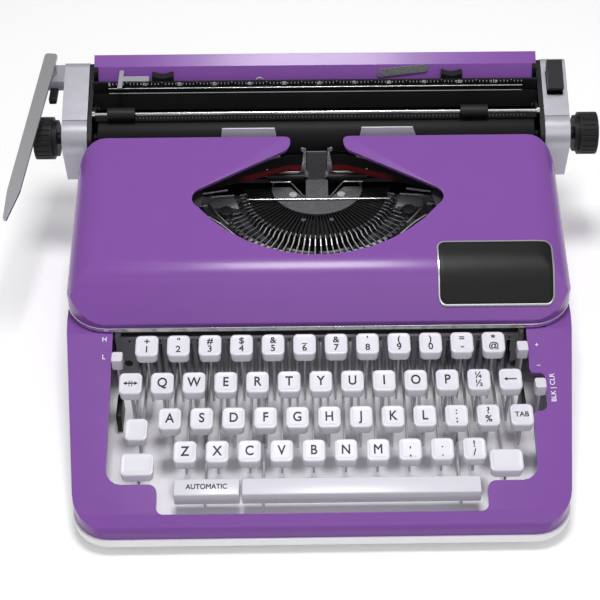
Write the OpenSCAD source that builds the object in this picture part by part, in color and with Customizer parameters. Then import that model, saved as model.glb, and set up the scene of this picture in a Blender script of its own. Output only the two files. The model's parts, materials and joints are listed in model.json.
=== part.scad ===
// Manual portable typewriter: housing, hinged ribbon cover, keyboard, type basket and sliding carriage.
// The machine is drawn about its own centre plane (x = 0) with y = 0 at the middle of the housing
// and z = 0 on the table, then placed so that the origin is below the middle of its whole box.

/* [Housing] */
// Width of the housing across the cover
body_w = 310; // [306:1:316]
// Width of the housing at its front edge
front_w = 286; // [280:1:296]
// Depth of the housing from front to back
body_d = 297; // [294:1:302]
// Thickness of the housing and cover walls
wall = 2.5; // [2:0.1:3]
// Height of the housing rim that the cover rests on
rim_z = 62; // [60:0.5:63]
// Height of the front border above the table
border_z = 24.5; // [22:0.5:27]
// Depth of the front border before the key well
border_d = 8.3; // [7:0.1:10]
// Half width of the key well
well_half_w = 126; // [126:0.5:130]
// Height of the rubber feet
foot_h = 6; // [4:0.5:8]
// Radius of the rubber feet
foot_r = 9; // [6:0.5:12]
// Height of the lip of the base pan
lip_h = 6; // [5:0.5:7]

/* [Cover] */
// Height of the cover at its rear edge
cover_rear_z = 111.5; // [111:0.25:113]
// Setback of the cover's rear edge behind the middle of the housing
cover_rear_y = 94; // [92:0.25:94.5]
// Height of the cover at the knee above the front slope
cover_knee_z = 92; // [91:0.5:94]
// Height of the cover's front edge
cover_front_z = 66; // [65.5:0.25:68]
// Half width of the widest part of the type opening
opening_half_w = 85; // [78:1:88]
// Half width of the notch at the printing point
notch_half_w = 17; // [16:0.5:20]
// Radius of the hinge pins of the cover
hinge_r = 1.3; // [1:0.1:1.5]

/* [Keyboard] */
// Distance between neighbouring keys in a row
key_pitch = 18.75; // [18.5:0.05:18.9]
// Distance between rows, measured along the table
row_pitch = 18.75; // [18.25:0.05:19]
// Width of a key cap
cap_w = 13.8; // [12.5:0.1:14.2]
// Depth of a key cap
cap_d = 14.4; // [13:0.1:15]
// Height of a key cap
cap_h = 8; // [6.5:0.1:9]
// Height of the bottom letter row's key tops
bottom_row_z = 42; // [41.5:0.25:44]
// Travel of a letter key
key_travel = 12; // [8:0.5:12]
// Thickness of a key lever
lever_t = 1.2; // [0.8:0.1:1.4]
// Height of a key lever bar
lever_h = 5; // [4:0.25:5.5]
// Radius of the rod that the key levers turn on
fulcrum_r = 3; // [2.5:0.1:3.5]
// Running clearance of pieces that turn or slide
fit = 0.1; // [0.05:0.01:0.1]

/* [Carriage] */
// Height of the platen's axis
platen_z = 95; // [94.5:0.25:95.5]
// Radius of the platen
platen_r = 16.5; // [15.5:0.1:16.6]
// Half length of the platen
platen_half = 143; // [138:1:145]
// Radius of the platen's shaft
shaft_r = 4; // [3:0.1:4.5]
// Radius of the platen knobs
knob_r = 14; // [12:0.25:14.5]
// Length of the platen knobs
knob_l = 15; // [12:0.5:18]
// Width of a carriage end cover
end_w = 16.5; // [14:0.5:17]
// Radius of the paper bail's rollers
bail_roller_r = 4.2; // [3.5:0.1:4.3]
// Length of the carriage return lever in front of its pivot
return_l = 134; // [116:1:135]

/* [Type basket] */
// Number of typebars
typebar_count = 44; // [30:2:44]
// Radius of the slotted segment's outer edge
segment_r = 48; // [46:0.5:50]
// Radius of the ring of type slugs
slug_r = 68; // [66:0.5:69]
// Radius of a ribbon spool
spool_r = 25; // [22:0.5:25.5]

/* [Hidden] */
$fn = 48;
gap = 0.3;
over = 1;
front_y = -body_d / 2;
rear_y = body_d / 2;
half_w = body_w / 2;
shoulder_y = -20;
front_corner_r = 22;
rear_corner_r = 14;
shoulder_r = 120;
rear_deck = 9;
lip = 1.2;
pan_wall = 2;
pan_floor = 2.5;
pan_rim = 4;
pan_z = foot_h;
floor_z = pan_z + pan_floor;
housing_z = pan_z + lip_h;
foot_x = front_w / 2 - 28;
foot_ys = [front_y + 40, rear_y - 30];

// Rows run from the number row (0) to the bottom letter row (3).
row_rises = [30.2, 18.1, 7.7, 0];
bottom_row_y = front_y + 40.3;
function row_y(row) = bottom_row_y + (3 - row) * row_pitch;
function row_z(row) = bottom_row_z + row_rises[row];
step = key_pitch / 4;
row_starts = [-22 * step, -20 * step, -19 * step, -17 * step];
function key_x(row, i) = row_starts[row] + i * key_pitch;

letter_rows = ["", "qwertyuiop", "asdfghjkl", "zxcvbnm"];
LETTERS = [for (row = [1:3]) for (i = [0:len(letter_rows[row]) - 1]) [letter_rows[row][i], row, i]];
NUMBER_KEYS = [for (i = [0:11]) [0, i]];
PUNCTUATION_KEYS = [[1, 10], [2, 9], [2, 10], [3, 7], [3, 8], [3, 9]];
MARGIN_KEY = [1, -1];
BACK_KEY = [1, 11];
tab_x = 25.2 * step;
socket_d = 4;
cap_r = 3;
dish_r = 60;
dish_depth = 0.5;
cap_tilt = 12;

// Levers share one rod behind the keyboard.
fulcrum_y = 43;
lever_room = 3;
fulcrum_z = floor_z + key_travel + lever_h / 2 + lever_room;
crank_front = 26;
crank_run = 8;
crank_lean = 2;
eye_r = fulcrum_r + 2.5;
plate_room = 4.875;
plate_in = tab_x + plate_room;
plate_t = 2.5;

// The space bar, the repeat bar and the shift keys.
bar_y = front_y + 22;
bar_z = 33;
bar_h = 11;
bar_d = 10.5;
space_ends = [-46.5, 92];
repeat_ends = [-86, -48];
bar_drop = 6;
bar_room = 1;
bar_low = floor_z + bar_drop + lever_h / 2 + bar_room;
shift_x = 22.9 * step;
shift_y = front_y + 33.5;
shift_z = bottom_row_z - 2.5;
shift_w = 19.7;
lock_x = shift_x + 1.2;
lock_y = front_y + 53.5;
lock_z = bottom_row_z + 5;
lock_w = 13.5;
tie_y = 20;
tie_z = fulcrum_z - 9;
tie_r = 2;
tie_ear_r = 3.5;
tie_end = 1.5;

// Cover and its hinge, which lies just under the panel's rear edge.
cover_front_y = row_y(0) + 20;
cover_side_r = 20;
cover_front_r = 26;
cover_rear_r = 16;
knee_r = 34;
wing_back = 47;
wing_r = 8;
sweep_r = 95;
sweep_ends = [218, 322];
knee_y = cover_front_y + 24;
slope = atan2(cover_rear_z - cover_knee_z, cover_rear_y - knee_y);
hinge_y = cover_rear_y - 3.8;
hinge_z = cover_rear_z - 4.6;
barrel_r = hinge_r + 1.2;
ear_r = hinge_r + 1;
ear_room = 0.4;
lip_drop = 3;
front_run = 32;
step_run = 4;
barrel_ends = [100, 118];
trim_in = 0.6;
trim_t = 2.4;
trim_h = 3.4;

// Type basket, drawn about a vertical axis behind the cover's opening.
basket_y = 88;
basket_z = 70;
segment_in = 24;
slot_w = 1.2;
bar_t = 0.8;
fan_edge = 8;
rest_room = 6;
rest_w = 5;
rest_out = slug_r - rest_room;
rest_in = rest_out - rest_w;
segment_low = 60;
bar_low_h = 2.7;
bar_high_h = 0.4;
slug = [3, 2.4, 8];

// Carriage. The rail stands on the side plates.
platen_y = 115;
rail_y = [108, 122];
rail_z = [60, 68];
bay_side = 14.5;
bay_half_w = half_w - wall - bay_side;
rail_half = bay_half_w - 1;
carriage_travel = 110;
shoe_l = 20;
shoe_t = 3;
shoe_x = rail_half - carriage_travel - shoe_l / 2 - 3;
bed_z = rail_z[1] + gap;
bed_t = 3;
bed_y = [rail_y[0] - 6, 150];
side_in = platen_half + 4;
side_t = 3;
end_in = side_in + side_t;
end_out = end_in + end_w;
carriage_rear = 158;
top_rear_z = 130;
bail_y = platen_y - 2;
bail_z = platen_z + platen_r + 4.5;
bail_pivot = [platen_y + 13, platen_z + 13.5];
bail_rod_r = 1.2;
bail_rollers = [-127, 103];
bail_roller_l = 18;
pivot_r = 2;
knob_start = end_out + 4;
knob_neck = 3;
pan_gap = 3;
deflector_t = 1.2;
scale_t = 1.6;
scale_y = 136;
scale_z = [117, 124.5];
rack = [140.5, 119];
rack_r = 1.5;
table_low = [144.2, 117.5];
table_crease = [149.5, 127];
table_top = [156.7, 131.5];
table_t = 1.5;
return_x = -(end_out + 10);
return_y = 148;
return_z = 130;
return_pitch = 12.5;
return_lean = 7.3;
return_pin_r = 2.9;
return_pin_h = 3.2;
return_hub_r = 4.6;
return_hub_h = 5.5;
return_t = 2;
return_tip_r = 1.2;
bracket = [14.5, 18, 7.5];
bracket_drop = 14;
release_pivot = [138, 108];
release_x = [end_in + 3, end_in + 13];
release_slot = [-10.5, 6];
end_wall = 2.2;
stop_size = [14, 5.2, 11.5];
stop_dip_r = 10.5;

// The whole box: the return lever reaches further left than the right knob, and the lip further front.
left_reach = -return_x + return_l * cos(return_pitch) * sin(return_lean) + return_tip_r;
right_reach = knob_start + knob_l;
frame_x = (left_reach - right_reach) / 2;
lever_tail = 9.5;
rear_reach = return_y + lever_tail;
frame_y = -(max(carriage_rear, rear_reach) - body_d / 2 - lip) / 2;

letter_nodes = [for (k = LETTERS) str("key_", k[0])];

// Shapes that several pieces use.
function unit(v) = v / norm(v);
function wrapped(a) = a > 180 ? a - 360 : a < -180 ? a + 360 : a;
function fillet(a, p, b, r, n) =
    let (u = unit(a - p), v = unit(b - p), half = acos(u * v) / 2, c = p + unit(u + v) * r / sin(half),
         s = p + u * r / tan(half) - c, e = p + v * r / tan(half) - c,
         from = atan2(s[1], s[0]), turn = wrapped(atan2(e[1], e[0]) - from))
    [for (i = [0:n]) c + r * [cos(from + turn * i / n), sin(from + turn * i / n)]];
function flat2(p) = [p[0], p[1]];
// Rounds the corners of an outline whose points are [x, y, radius].
function rounded(pts, n = 5) =
    let (m = len(pts))
    [for (i = [0:m - 1]) let (p = pts[i], r = len(p) > 2 ? p[2] : 0)
        each r > 0 ? fillet(flat2(pts[(i + m - 1) % m]), flat2(p), flat2(pts[(i + 1) % m]), r, n) : [flat2(p)]];
function box_points(w, d, r) = rounded([
    [-w / 2, -d / 2, r], [w / 2, -d / 2, r], [w / 2, d / 2, r], [-w / 2, d / 2, r]], 4);
function arc(c, r, a, b, n) = [for (i = [0:n]) c + r * [cos(a + (b - a) * i / n), sin(a + (b - a) * i / n)]];

// Extrudes a y-z outline along x from x0 to x1.
module along_x(x0, x1) {
    translate([x0, 0, 0]) rotate([90, 0, 90]) linear_extrude(x1 - x0) children();
}
module rod_x(x0, x1, y, z, r) {
    translate([x0, y, z]) rotate([0, 90, 0]) cylinder(r = r, h = x1 - x0);
}
module mirrored() {
    children();
    mirror([1, 0, 0]) children();
}
module slab(z0, z1, pts) {
    translate([0, 0, z0]) linear_extrude(z1 - z0) polygon(pts);
}
module place() {
    translate([frame_x, frame_y, 0]) children();
}

// Plan outline of the housing, grown by g.
function body_points(g) = rounded([
    [-front_w / 2 - g, front_y - g, front_corner_r + g], [front_w / 2 + g, front_y - g, front_corner_r + g],
    [half_w + g, shoulder_y, shoulder_r], [half_w + g, rear_y + g, rear_corner_r + g],
    [-half_w - g, rear_y + g, rear_corner_r + g], [-half_w - g, shoulder_y, shoulder_r]], 7);

// Casing
module base_pan() color("whitesmoke") {
    inside = -wall - gap;
    difference() {
        union() {
            slab(pan_z, housing_z, body_points(lip));
            slab(pan_z, housing_z + pan_rim, body_points(inside));
        }
        slab(floor_z, housing_z + pan_rim + over, body_points(inside - pan_wall));
    }
}

module rubber_feet() color("black") {
    for (x = [-foot_x, foot_x], y = foot_ys)
        translate([x, y, 0]) {
            cylinder(r1 = foot_r - 1, r2 = foot_r, h = foot_h / 2);
            translate([0, 0, foot_h / 2]) cylinder(r = foot_r, h = foot_h / 2);
        }
}

// Side view of the housing: low front border, sloping sides of the key well, level rim.
function housing_profile(g) = rounded([
    [front_y - over, housing_z - over], [front_y + g, housing_z - over], [front_y + g, border_z - 4 - g, 5],
    [front_y + border_d, border_z - g, 10], [cover_front_y, rim_z - g, 4],
    [rear_y + over, rim_z - g], [rear_y + over, housing_z - over]]);
well_step_y = front_y + 25.5;
selector_notch = 9;
pocket_half_w = max(-repeat_ends[0], space_ends[1]) + 4;
notch_y = [row_y(1) - 12, row_y(1) + 11];
well_points = rounded([
    [-well_half_w, cover_front_y + 2 * over], [-well_half_w, well_step_y, 9], [-pocket_half_w, well_step_y, 5],
    [-pocket_half_w, front_y + border_d, 4], [pocket_half_w, front_y + border_d, 4],
    [pocket_half_w, well_step_y, 5], [well_half_w, well_step_y, 9], [well_half_w, notch_y[0], 4],
    [well_half_w + selector_notch, notch_y[0], 4], [well_half_w + selector_notch, notch_y[1], 3],
    [well_half_w, notch_y[1], 3], [well_half_w, cover_front_y + 2 * over]], 4);
module keyboard_housing() color("mediumpurple") {
    difference() {
        intersection() {
            slab(housing_z, rim_z + over, body_points(0));
            along_x(-half_w - over, half_w + over) polygon(housing_profile(0));
        }
        intersection() {
            slab(housing_z - over, rim_z + over, body_points(-wall));
            along_x(-half_w - over, half_w + over) polygon(housing_profile(wall));
        }
        slab(housing_z, rim_z + over, well_points);
        translate([-bay_half_w, cover_front_y + over, housing_z])
            cube([2 * bay_half_w, rear_y - wall - rear_deck - cover_front_y, rim_z]);
    }
}

// Ribbon cover: a tilted panel with rounded sides, a curved front and the type opening.
function cover_plan(g) = rounded([
    [-half_w - g, cover_front_y - g, cover_front_r + g], [half_w + g, cover_front_y - g, cover_front_r + g],
    [half_w + g, cover_rear_y + g, cover_rear_r + g], [-half_w - g, cover_rear_y + g, cover_rear_r + g]], 7);
function cover_side(g, foot) = rounded([
    [cover_rear_y + over, rim_z + gap - foot], [cover_rear_y + over, cover_rear_z + g + over * tan(slope)],
    [knee_y, cover_knee_z + g, knee_r], [cover_front_y - g, cover_front_z + lip_drop + g, 2],
    [cover_front_y - g, cover_front_z - foot], [cover_front_y + front_run, cover_front_z - foot],
    [cover_front_y + front_run + step_run, rim_z + gap - foot]], 8);
module cover_block(g, foot) {
    intersection() {
        slab(rim_z - 10, cover_rear_z + 20, cover_plan(g));
        along_x(-half_w - over, half_w + over) polygon(cover_side(g, foot));
        translate([0, cover_rear_y, cover_rear_z]) rotate([slope, 0, 0]) along_y(-body_d, 30)
            polygon(rounded([[-half_w - g, g, cover_side_r], [-half_w - g, -cover_rear_z],
                [half_w + g, -cover_rear_z], [half_w + g, g, cover_side_r]], 7));
    }
}
// Eye-shaped type opening: straight wings that meet the notch, and one long sweep below them.
function wing(s) = [
    [s * notch_half_w, cover_rear_y + 5 * over], [s * notch_half_w, cover_rear_y - wing_r, wing_r],
    [s * opening_half_w, cover_rear_y - wing_back, wing_r]];
type_opening_points = rounded(concat(wing(-1),
    arc([0, cover_rear_y + 3], sweep_r, sweep_ends[0], sweep_ends[1], 13),
    [for (i = [2:-1:0]) wing(1)[i]]), 6);
rear_gap_half = plate_in + plate_t + 3;
module top_cover() color("mediumpurple") {
    difference() {
        union() {
            difference() {
                cover_block(0, 0);
                cover_block(-wall, 8);
                translate([-rear_gap_half, cover_rear_y - wall - over, rim_z - over])
                    cube([2 * rear_gap_half, wall + 3 * over, hinge_z + over - rim_z + over]);
            }
            mirrored() rod_x(barrel_ends[0], barrel_ends[1], hinge_y, hinge_z, barrel_r);
        }
        slab(rim_z, cover_rear_z + 20, type_opening_points);
        mirrored() rod_x(barrel_ends[0] - over, barrel_ends[1] + over, hinge_y, hinge_z, hinge_r + fit / 2);
        mirrored() rod_x(plate_in - gap, plate_in + plate_t + gap, hinge_y, hinge_z, ear_r + ear_room);
    }
}

// Bright strip under the cover's front edge.
module cover_trim() color("silver") {
    difference() {
        slab(cover_front_z - trim_h, cover_front_z, cover_plan(-trim_in));
        slab(cover_front_z - trim_h - over, cover_front_z + over, cover_plan(-trim_in - trim_t));
        translate([-half_w, cover_front_y + front_run - 2 * gap, 0]) cube([body_w, body_d, cover_rear_z]);
    }
}

// Frame inside the casing: side plates, cross bars, rod, rail, spool decks and the slotted comb.
comb_y = cover_front_y + 4;
comb_z = [floor_z + 8, 60];
deck_z = 76;
spool_x = 98;
spool_y = 56;
post_r = 3;
spool_z = [deck_z + 2.5, deck_z + 18.5];
deck_t = 2;
deck_half_d = 22;
plate_top = 58;
plate_rear = 132;
plate_hole = [85, 40];
plate_hole_r = 12;
cross_bar = 6;
cross_bar_z = 54;
comb_t = 1.5;
comb_slot = 2.2;
arm_slot = 2.4;
module side_plate() {
    along_x(plate_in, plate_in + plate_t) difference() {
        union() {
            polygon(rounded([
                [comb_y + 10, floor_z], [plate_rear, floor_z], [plate_rear, rail_z[0]],
                [rail_y[0] - 14, rail_z[0]], [hinge_y + 2, deck_z, 1], [hinge_y + 2, hinge_z],
                [hinge_y - 2, hinge_z], [hinge_y - 12, deck_z + deck_t, 6], [spool_y - 24, deck_z + deck_t],
                [spool_y - 36, plate_top, 8], [comb_y - 2, plate_top, 4], [comb_y - 2, floor_z + 4]]));
            translate([hinge_y, hinge_z]) circle(r = ear_r);
        }
        translate(plate_hole) circle(r = plate_hole_r);
    }
}
module chassis_frame() {
    plate_mid = plate_in + plate_t / 2;
    color("dimgray") {
        mirrored() side_plate();
        rod_x(-plate_mid, plate_mid, fulcrum_y, fulcrum_z, fulcrum_r);
        mirrored() rod_x(barrel_ends[0] - 4, plate_mid, hinge_y, hinge_z, hinge_r);
        for (y = [basket_y - segment_in - 14, basket_y - rest_out + 1])
            along_x(-plate_mid, plate_mid) translate([y, cross_bar_z]) square(cross_bar);
        along_x(-rail_half, rail_half) translate([rail_y[0], rail_z[0]])
            square([rail_y[1] - rail_y[0], rail_z[1] - rail_z[0]]);
        mirrored() slab(deck_z, deck_z + deck_t, [
            [spool_x - 26, spool_y - deck_half_d], [plate_mid, spool_y - deck_half_d],
            [plate_mid, spool_y + deck_half_d], [spool_x - 14, spool_y + deck_half_d]]);
        mirrored() translate([spool_x, spool_y, deck_z]) cylinder(r = post_r, h = spool_z[1] - deck_z + deck_t);
    }
    color("gray") lever_comb();
}
module comb_cut(x, w, h) {
    translate([x - w / 2, comb_y - over, comb_z[0] - over]) cube([w, comb_t + 2 * over, h + over]);
}
module lever_comb() {
    difference() {
        translate([-plate_in, comb_y, comb_z[0]]) cube([2 * plate_in, comb_t, comb_z[1] - comb_z[0]]);
        for (k = [-24:25]) comb_cut(k * step, comb_slot, 31);
        for (x = concat(space_arms, repeat_arms, [-shift_x, shift_x, tab_x])) comb_cut(x, arm_slot, 21);
    }
}

// Keys: a cap with a dished top that leans towards the typist, on a flat lever that turns on the common rod.
module cap(w, d, h, stem_x = 0) {
    difference() {
        slab(0, h + d / 2 * tan(cap_tilt), box_points(w, d, cap_r));
        translate([stem_x, 0, 0]) socket();
        translate([0, 0, h]) rotate([cap_tilt, 0, 0]) translate([0, 0, dish_r - dish_depth])
            rotate([0, 90, 0]) cylinder(r = dish_r, h = w * 2, center = true, $fn = 64);
    }
}
module socket() {
    translate([-lever_t / 2 - fit, -lever_h / 2 - fit, -over])
        cube([lever_t + 2 * fit, lever_h + 2 * fit, socket_d + fit + over]);
}
// Side view of a lever whose stem stands at y and reaches up to z; low is the height of its front bar.
module lever_profile(y, z, low) {
    half = lever_h / 2;
    difference() {
        union() {
            polygon([[fulcrum_y, fulcrum_z + half], [y + crank_front + crank_run, fulcrum_z + half],
                [y + crank_front, low + half], [y + half, low + half], [y + half, z], [y - half, z],
                [y - half, low - half], [y + crank_front + crank_lean, low - half],
                [y + crank_front + crank_run + crank_lean, fulcrum_z - half], [fulcrum_y, fulcrum_z - half]]);
            translate([fulcrum_y, fulcrum_z]) circle(r = eye_r);
        }
        translate([fulcrum_y, fulcrum_z]) circle(r = fulcrum_r + fit);
    }
}
module lever(x, y, z, low = fulcrum_z) {
    color("silver") along_x(x - lever_t / 2, x + lever_t / 2) lever_profile(y, z, low);
}
module key_at(x, y, z, w = cap_w, d = cap_d) {
    color("whitesmoke") translate([x, y, z - cap_h]) cap(w, d, cap_h);
    lever(x, y, z - cap_h + socket_d);
}
module key(k) {
    key_at(key_x(k[0], k[1]), row_y(k[0]), row_z(k[0]));
}
module long_bar(ends, arms) {
    middle = (ends[0] + ends[1]) / 2;
    color("whitesmoke") translate([middle, bar_y, bar_z - bar_h])
        difference() {
            slab(0, bar_h, box_points(ends[1] - ends[0], bar_d, 1));
            for (x = arms) translate([x - middle, 0, 0]) socket();
        }
    for (x = arms) lever(x, bar_y, bar_z - bar_h + socket_d, bar_low);
}
// The levers of the bars run beside the caps of the bottom row, so that a pressed cap passes them.
arm_gap = 0.25;
beside_cap = (cap_w + lever_t) / 2 + arm_gap;
space_arms = [key_x(3, 2) + beside_cap, key_x(3, 9) - beside_cap];
repeat_arms = [key_x(3, 1) - beside_cap];
module shift_keys() {
    for (s = [-1, 1]) key_at(s * shift_x, shift_y, shift_z, shift_w);
    color("whitesmoke") translate([-lock_x, lock_y, lock_z - cap_h])
        cap(lock_w, cap_d - 0.4, cap_h, lock_x - shift_x);
    color("silver") along_x(-shift_x - lever_t / 2, -shift_x + lever_t / 2)
        translate([lock_y - lever_h / 2, fulcrum_z]) square([lever_h, lock_z - cap_h + socket_d - fulcrum_z]);
    color("silver") {
        rod_x(-shift_x - tie_end, shift_x + tie_end, tie_y, tie_z, tie_r);
        for (s = [-1, 1]) along_x(s * shift_x - lever_t / 2, s * shift_x + lever_t / 2) tie_ear();
    }
}
module tie_ear() {
    difference() {
        union() {
            translate([tie_y - tie_ear_r, tie_z]) square([2 * tie_ear_r, fulcrum_z - tie_z]);
            translate([tie_y, tie_z]) circle(r = tie_ear_r);
        }
        translate([tie_y, tie_z]) circle(r = tie_r + fit / 2);
    }
}

// Small levers beside the number row.
well_slope = atan2(rim_z - border_z, cover_front_y - front_y - border_d);
function well_edge_z(y) = border_z + (y - front_y - border_d) * tan(well_slope);
tab_w = 8;
tab_d = 9;
tab_h = 11;
blade_t = 1.5;
blade_h = 14;
module control_tab(x, y) {
    color("whitesmoke") translate([x, y, well_edge_z(y) - wall]) {
        slab(0, tab_h, box_points(tab_w, tab_d, 1.5));
        translate([-blade_t / 2, -tab_d / 3, -blade_h]) cube([blade_t, tab_d * 2 / 3, blade_h]);
    }
}
touch_x = well_half_w - gap - tab_w / 2;
selector_x = touch_x + selector_notch;
module touch_lever() control_tab(-touch_x, row_y(0) - 1);
module impression_lever() control_tab(touch_x, row_y(0) + 3);
module ribbon_selector() control_tab(selector_x, row_y(1) - 1);

// Type basket
function fan_angle(i) = 180 + fan_edge + (180 - 2 * fan_edge) * i / (typebar_count - 1);
module half_ring(r0, r1, z0, z1) {
    translate([0, basket_y, z0]) rotate([0, 0, 180]) rotate_extrude(angle = 180, $fn = 96)
        translate([r0, 0]) square([r1 - r0, z1 - z0]);
}
module type_segment() color("black") {
    difference() {
        half_ring(segment_in, segment_r, segment_low, basket_z + 2);
        for (i = [0:typebar_count - 1]) translate([0, basket_y, basket_z - 3]) rotate([0, 0, fan_angle(i)])
            translate([segment_in - over, -slot_w / 2, 0]) cube([segment_r, slot_w, 10]);
    }
    half_ring(rest_in, rest_out, segment_low, basket_z - 3);
}
module typebars() color("silver") {
    for (i = [0:typebar_count - 1]) translate([0, basket_y, basket_z]) rotate([0, 0, fan_angle(i)]) {
        rotate([90, 0, 0]) translate([0, 0, -bar_t / 2]) linear_extrude(bar_t)
            polygon([[segment_in + over, -bar_low_h], [slug_r - slug[0], -bar_low_h], [slug_r - slug[0], 1],
                [segment_r + 6, 1], [segment_r + 3, 3.5], [segment_r - 1, 3.5],
                [segment_r - 3, bar_high_h], [segment_in + over, bar_high_h]]);
        translate([slug_r - slug[0], -slug[1] / 2, -slug[2] / 2]) cube(slug);
    }
}
plate_r = segment_in + 2.5;
plate_notch = [[15.8, 0], [7.3, -11]];
guide_half_w = 6.5;
guide_z = [basket_z + 2, basket_z + 3.5];
guide_top = platen_z + 2;
hook_z = [platen_z - 19, platen_z + 6.5];
guide_t = 1.2;
hook_t = 1;
ribbon_z = [platen_z - 15, platen_z - 2];
card_y = cover_rear_y + 2.8;
card_t = 1;
card_z = [basket_z + 5, platen_z + 21];
card_bar = 4;
left_card = [[-66, card_z[0]], [-22, card_z[0]], [-27, card_z[1]], [-61, card_z[1]]];
right_card = [[24, card_z[0]], [76, card_z[0]], [62, card_z[1]], [29, card_z[1]]];
module type_guide() {
    color("gray") {
        translate([0, basket_y, 0]) slab(guide_z[0], guide_z[1], concat(arc([0, 0], plate_r, 180, 360, 40),
            plate_notch, [for (i = [1, 0]) [-plate_notch[i][0], plate_notch[i][1]]]));
        along_x(-guide_half_w, guide_half_w) polygon([
            [basket_y + plate_notch[1][1] - over, guide_z[0]], [card_y, guide_z[0]], [card_y, guide_top],
            [card_y - guide_t, guide_top], [card_y - guide_t, guide_z[1]],
            [basket_y + plate_notch[1][1] - over, guide_z[1]]]);
        mirrored() along_y(card_y - guide_t - hook_t, card_y - guide_t) translate([guide_half_w, 0]) hook();
    }
    color("silver") along_y(card_y, card_y + card_t) {
        translate(left_card[0]) square([right_card[1][0] - left_card[0][0], card_bar]);
        polygon(left_card);
        polygon(right_card);
    }
}
// One hook of the ribbon vibrator, seen from the front, with x from the edge of the guide.
module hook() {
    polygon([[-1, hook_z[0]], [6.5, hook_z[0] + 1.5], [6.5, hook_z[0] + 3.5], [4.2, hook_z[0] + 4.5],
        [2.2, hook_z[1] - 4], [4.3, hook_z[1] - 2], [3.5, hook_z[1]], [0.4, hook_z[1] - 1],
        [0.4, hook_z[0] + 4], [-1, hook_z[0] + 4]]);
}
module along_y(y0, y1) {
    translate([0, y1, 0]) rotate([90, 0, 0]) linear_extrude(y1 - y0) children();
}

// Inked ribbon: a thin band from spool to spool, round the back of the type guide.
ribbon_t = 0.4;
pack_r = 17;
flange_t = 1;
ribbon_half = [
    [spool_x - 8, spool_y + pack_r - 1.5], [26, card_y - 2.4], [19, card_y + 0.5], [0, card_y + 0.5]];
ribbon_path = concat([for (p = ribbon_half) [-p[0], p[1]]], [for (i = [2:-1:0]) ribbon_half[i]]);
module ribbon() color("firebrick") {
    side = [0, ribbon_t / 2];
    slab(ribbon_z[0], ribbon_z[1], concat(
        [for (p = ribbon_path) p - side], [for (i = [len(ribbon_path) - 1:-1:0]) ribbon_path[i] + side]));
}
module spool(side) color("dimgray") {
    translate([side * spool_x, spool_y, 0]) difference() {
        union() {
            translate([0, 0, spool_z[0]]) cylinder(r = spool_r, h = flange_t);
            translate([0, 0, spool_z[0]]) cylinder(r = pack_r, h = spool_z[1] - spool_z[0]);
            translate([0, 0, spool_z[1] - flange_t]) cylinder(r = spool_r, h = flange_t);
        }
        translate([0, 0, spool_z[0] - over]) cylinder(r = post_r + fit, h = spool_z[1] - spool_z[0] + 2 * over);
        for (a = [0:120:359]) rotate([0, 0, a]) translate([pack_r - 6, 0, spool_z[1] - 3])
            cylinder(r = 2.5, h = 3 + over);
    }
}

// Carriage
module side_outline() {
    difference() {
        polygon(rounded([
            [bed_y[0], bed_z], [bed_y[1], bed_z], [carriage_rear - 1, platen_z + 5, 8],
            [carriage_rear - 1, top_rear_z - 2, 4], [platen_y + 2, platen_z + platen_r + 0.5, 12],
            [platen_y - platen_r + 1, platen_z + 8, 6], [bed_y[0] - 2, bed_z + 12, 4]]));
        translate([platen_y, platen_z]) circle(r = shaft_r + fit);
    }
}
module carriage_frame() color("black") {
    mirrored() along_x(side_in, end_in) side_outline();
    along_x(-side_in, side_in) {
        translate([bed_y[0], bed_z]) square([bed_y[1] - bed_y[0], bed_t]);
        polygon(concat(
            arc([platen_y, platen_z], platen_r + pan_gap, -110, 30, 14),
            [[scale_y, scale_z[0]], [scale_y + 1, scale_z[0] - 1.5]],
            arc([platen_y, platen_z], platen_r + pan_gap + deflector_t, 30, -110, 14)));
        translate([scale_y - 0.5, scale_z[0] - 1]) square([scale_t, scale_z[1] - scale_z[0] + 1]);
    }
    for (x = [-shoe_x, shoe_x], y = [rail_y[0] - gap - shoe_t, rail_y[1] + gap])
        translate([x - shoe_l / 2, y, rail_z[0] + 2.5]) cube([shoe_l, shoe_t, bed_z - rail_z[0]]);
    rod_x(-side_in, side_in, rack[0], rack[1], rack_r);
    mirrored() rod_x(side_in - 4, side_in, bail_pivot[0], bail_pivot[1], pivot_r);
    rod_x(side_in, end_out - end_wall, release_pivot[0], release_pivot[1], pivot_r);
}

// Rounded cap over each end of the carriage, open towards the side plate.
end_low = bed_z + 1.7;
function end_points(g) = concat(
    rounded([[bed_y[0] - g, end_low - g], [bed_y[1], end_low - g, 6], [carriage_rear + g, platen_z + 1, 10],
        [carriage_rear + g, top_rear_z + g, 6], [platen_y - 2, platen_z + platen_r + g]], 5),
    arc([platen_y, platen_z], platen_r - 0.2 + g, 95, 200, 10));
module end_cover() {
    difference() {
        along_x(end_in, end_out) polygon(end_points(0));
        along_x(end_in - over, end_out - end_wall) polygon(end_points(-end_wall));
        rod_x(end_in - over, end_out + over, platen_y, platen_z, shaft_r + 1);
    }
}
module carriage_end_covers() {
    left_end_cover();
    right_end_cover();
}
module left_end_cover() color("lightgray") {
    mirror([1, 0, 0]) end_cover();
    translate([return_x, return_y, return_z - bracket_drop])
        cylinder(r = return_pin_r, h = bracket[2] + return_pin_h);
    translate([-end_out - bracket[0], return_y - bracket[1] / 2, return_z - bracket_drop])
        slab(0, bracket[2], rounded([
            [0, 0, 3], [bracket[0], 0], [bracket[0], bracket[1]], [0, bracket[1], 3]]));
}
module right_end_cover() color("lightgray") difference() {
    end_cover();
    translate([release_x[0] - gap, release_pivot[0] + release_slot[0], release_pivot[1] + 5])
        cube([release_x[1] - release_x[0] + 2 * gap, release_slot[1] - release_slot[0], 40]);
}

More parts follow.
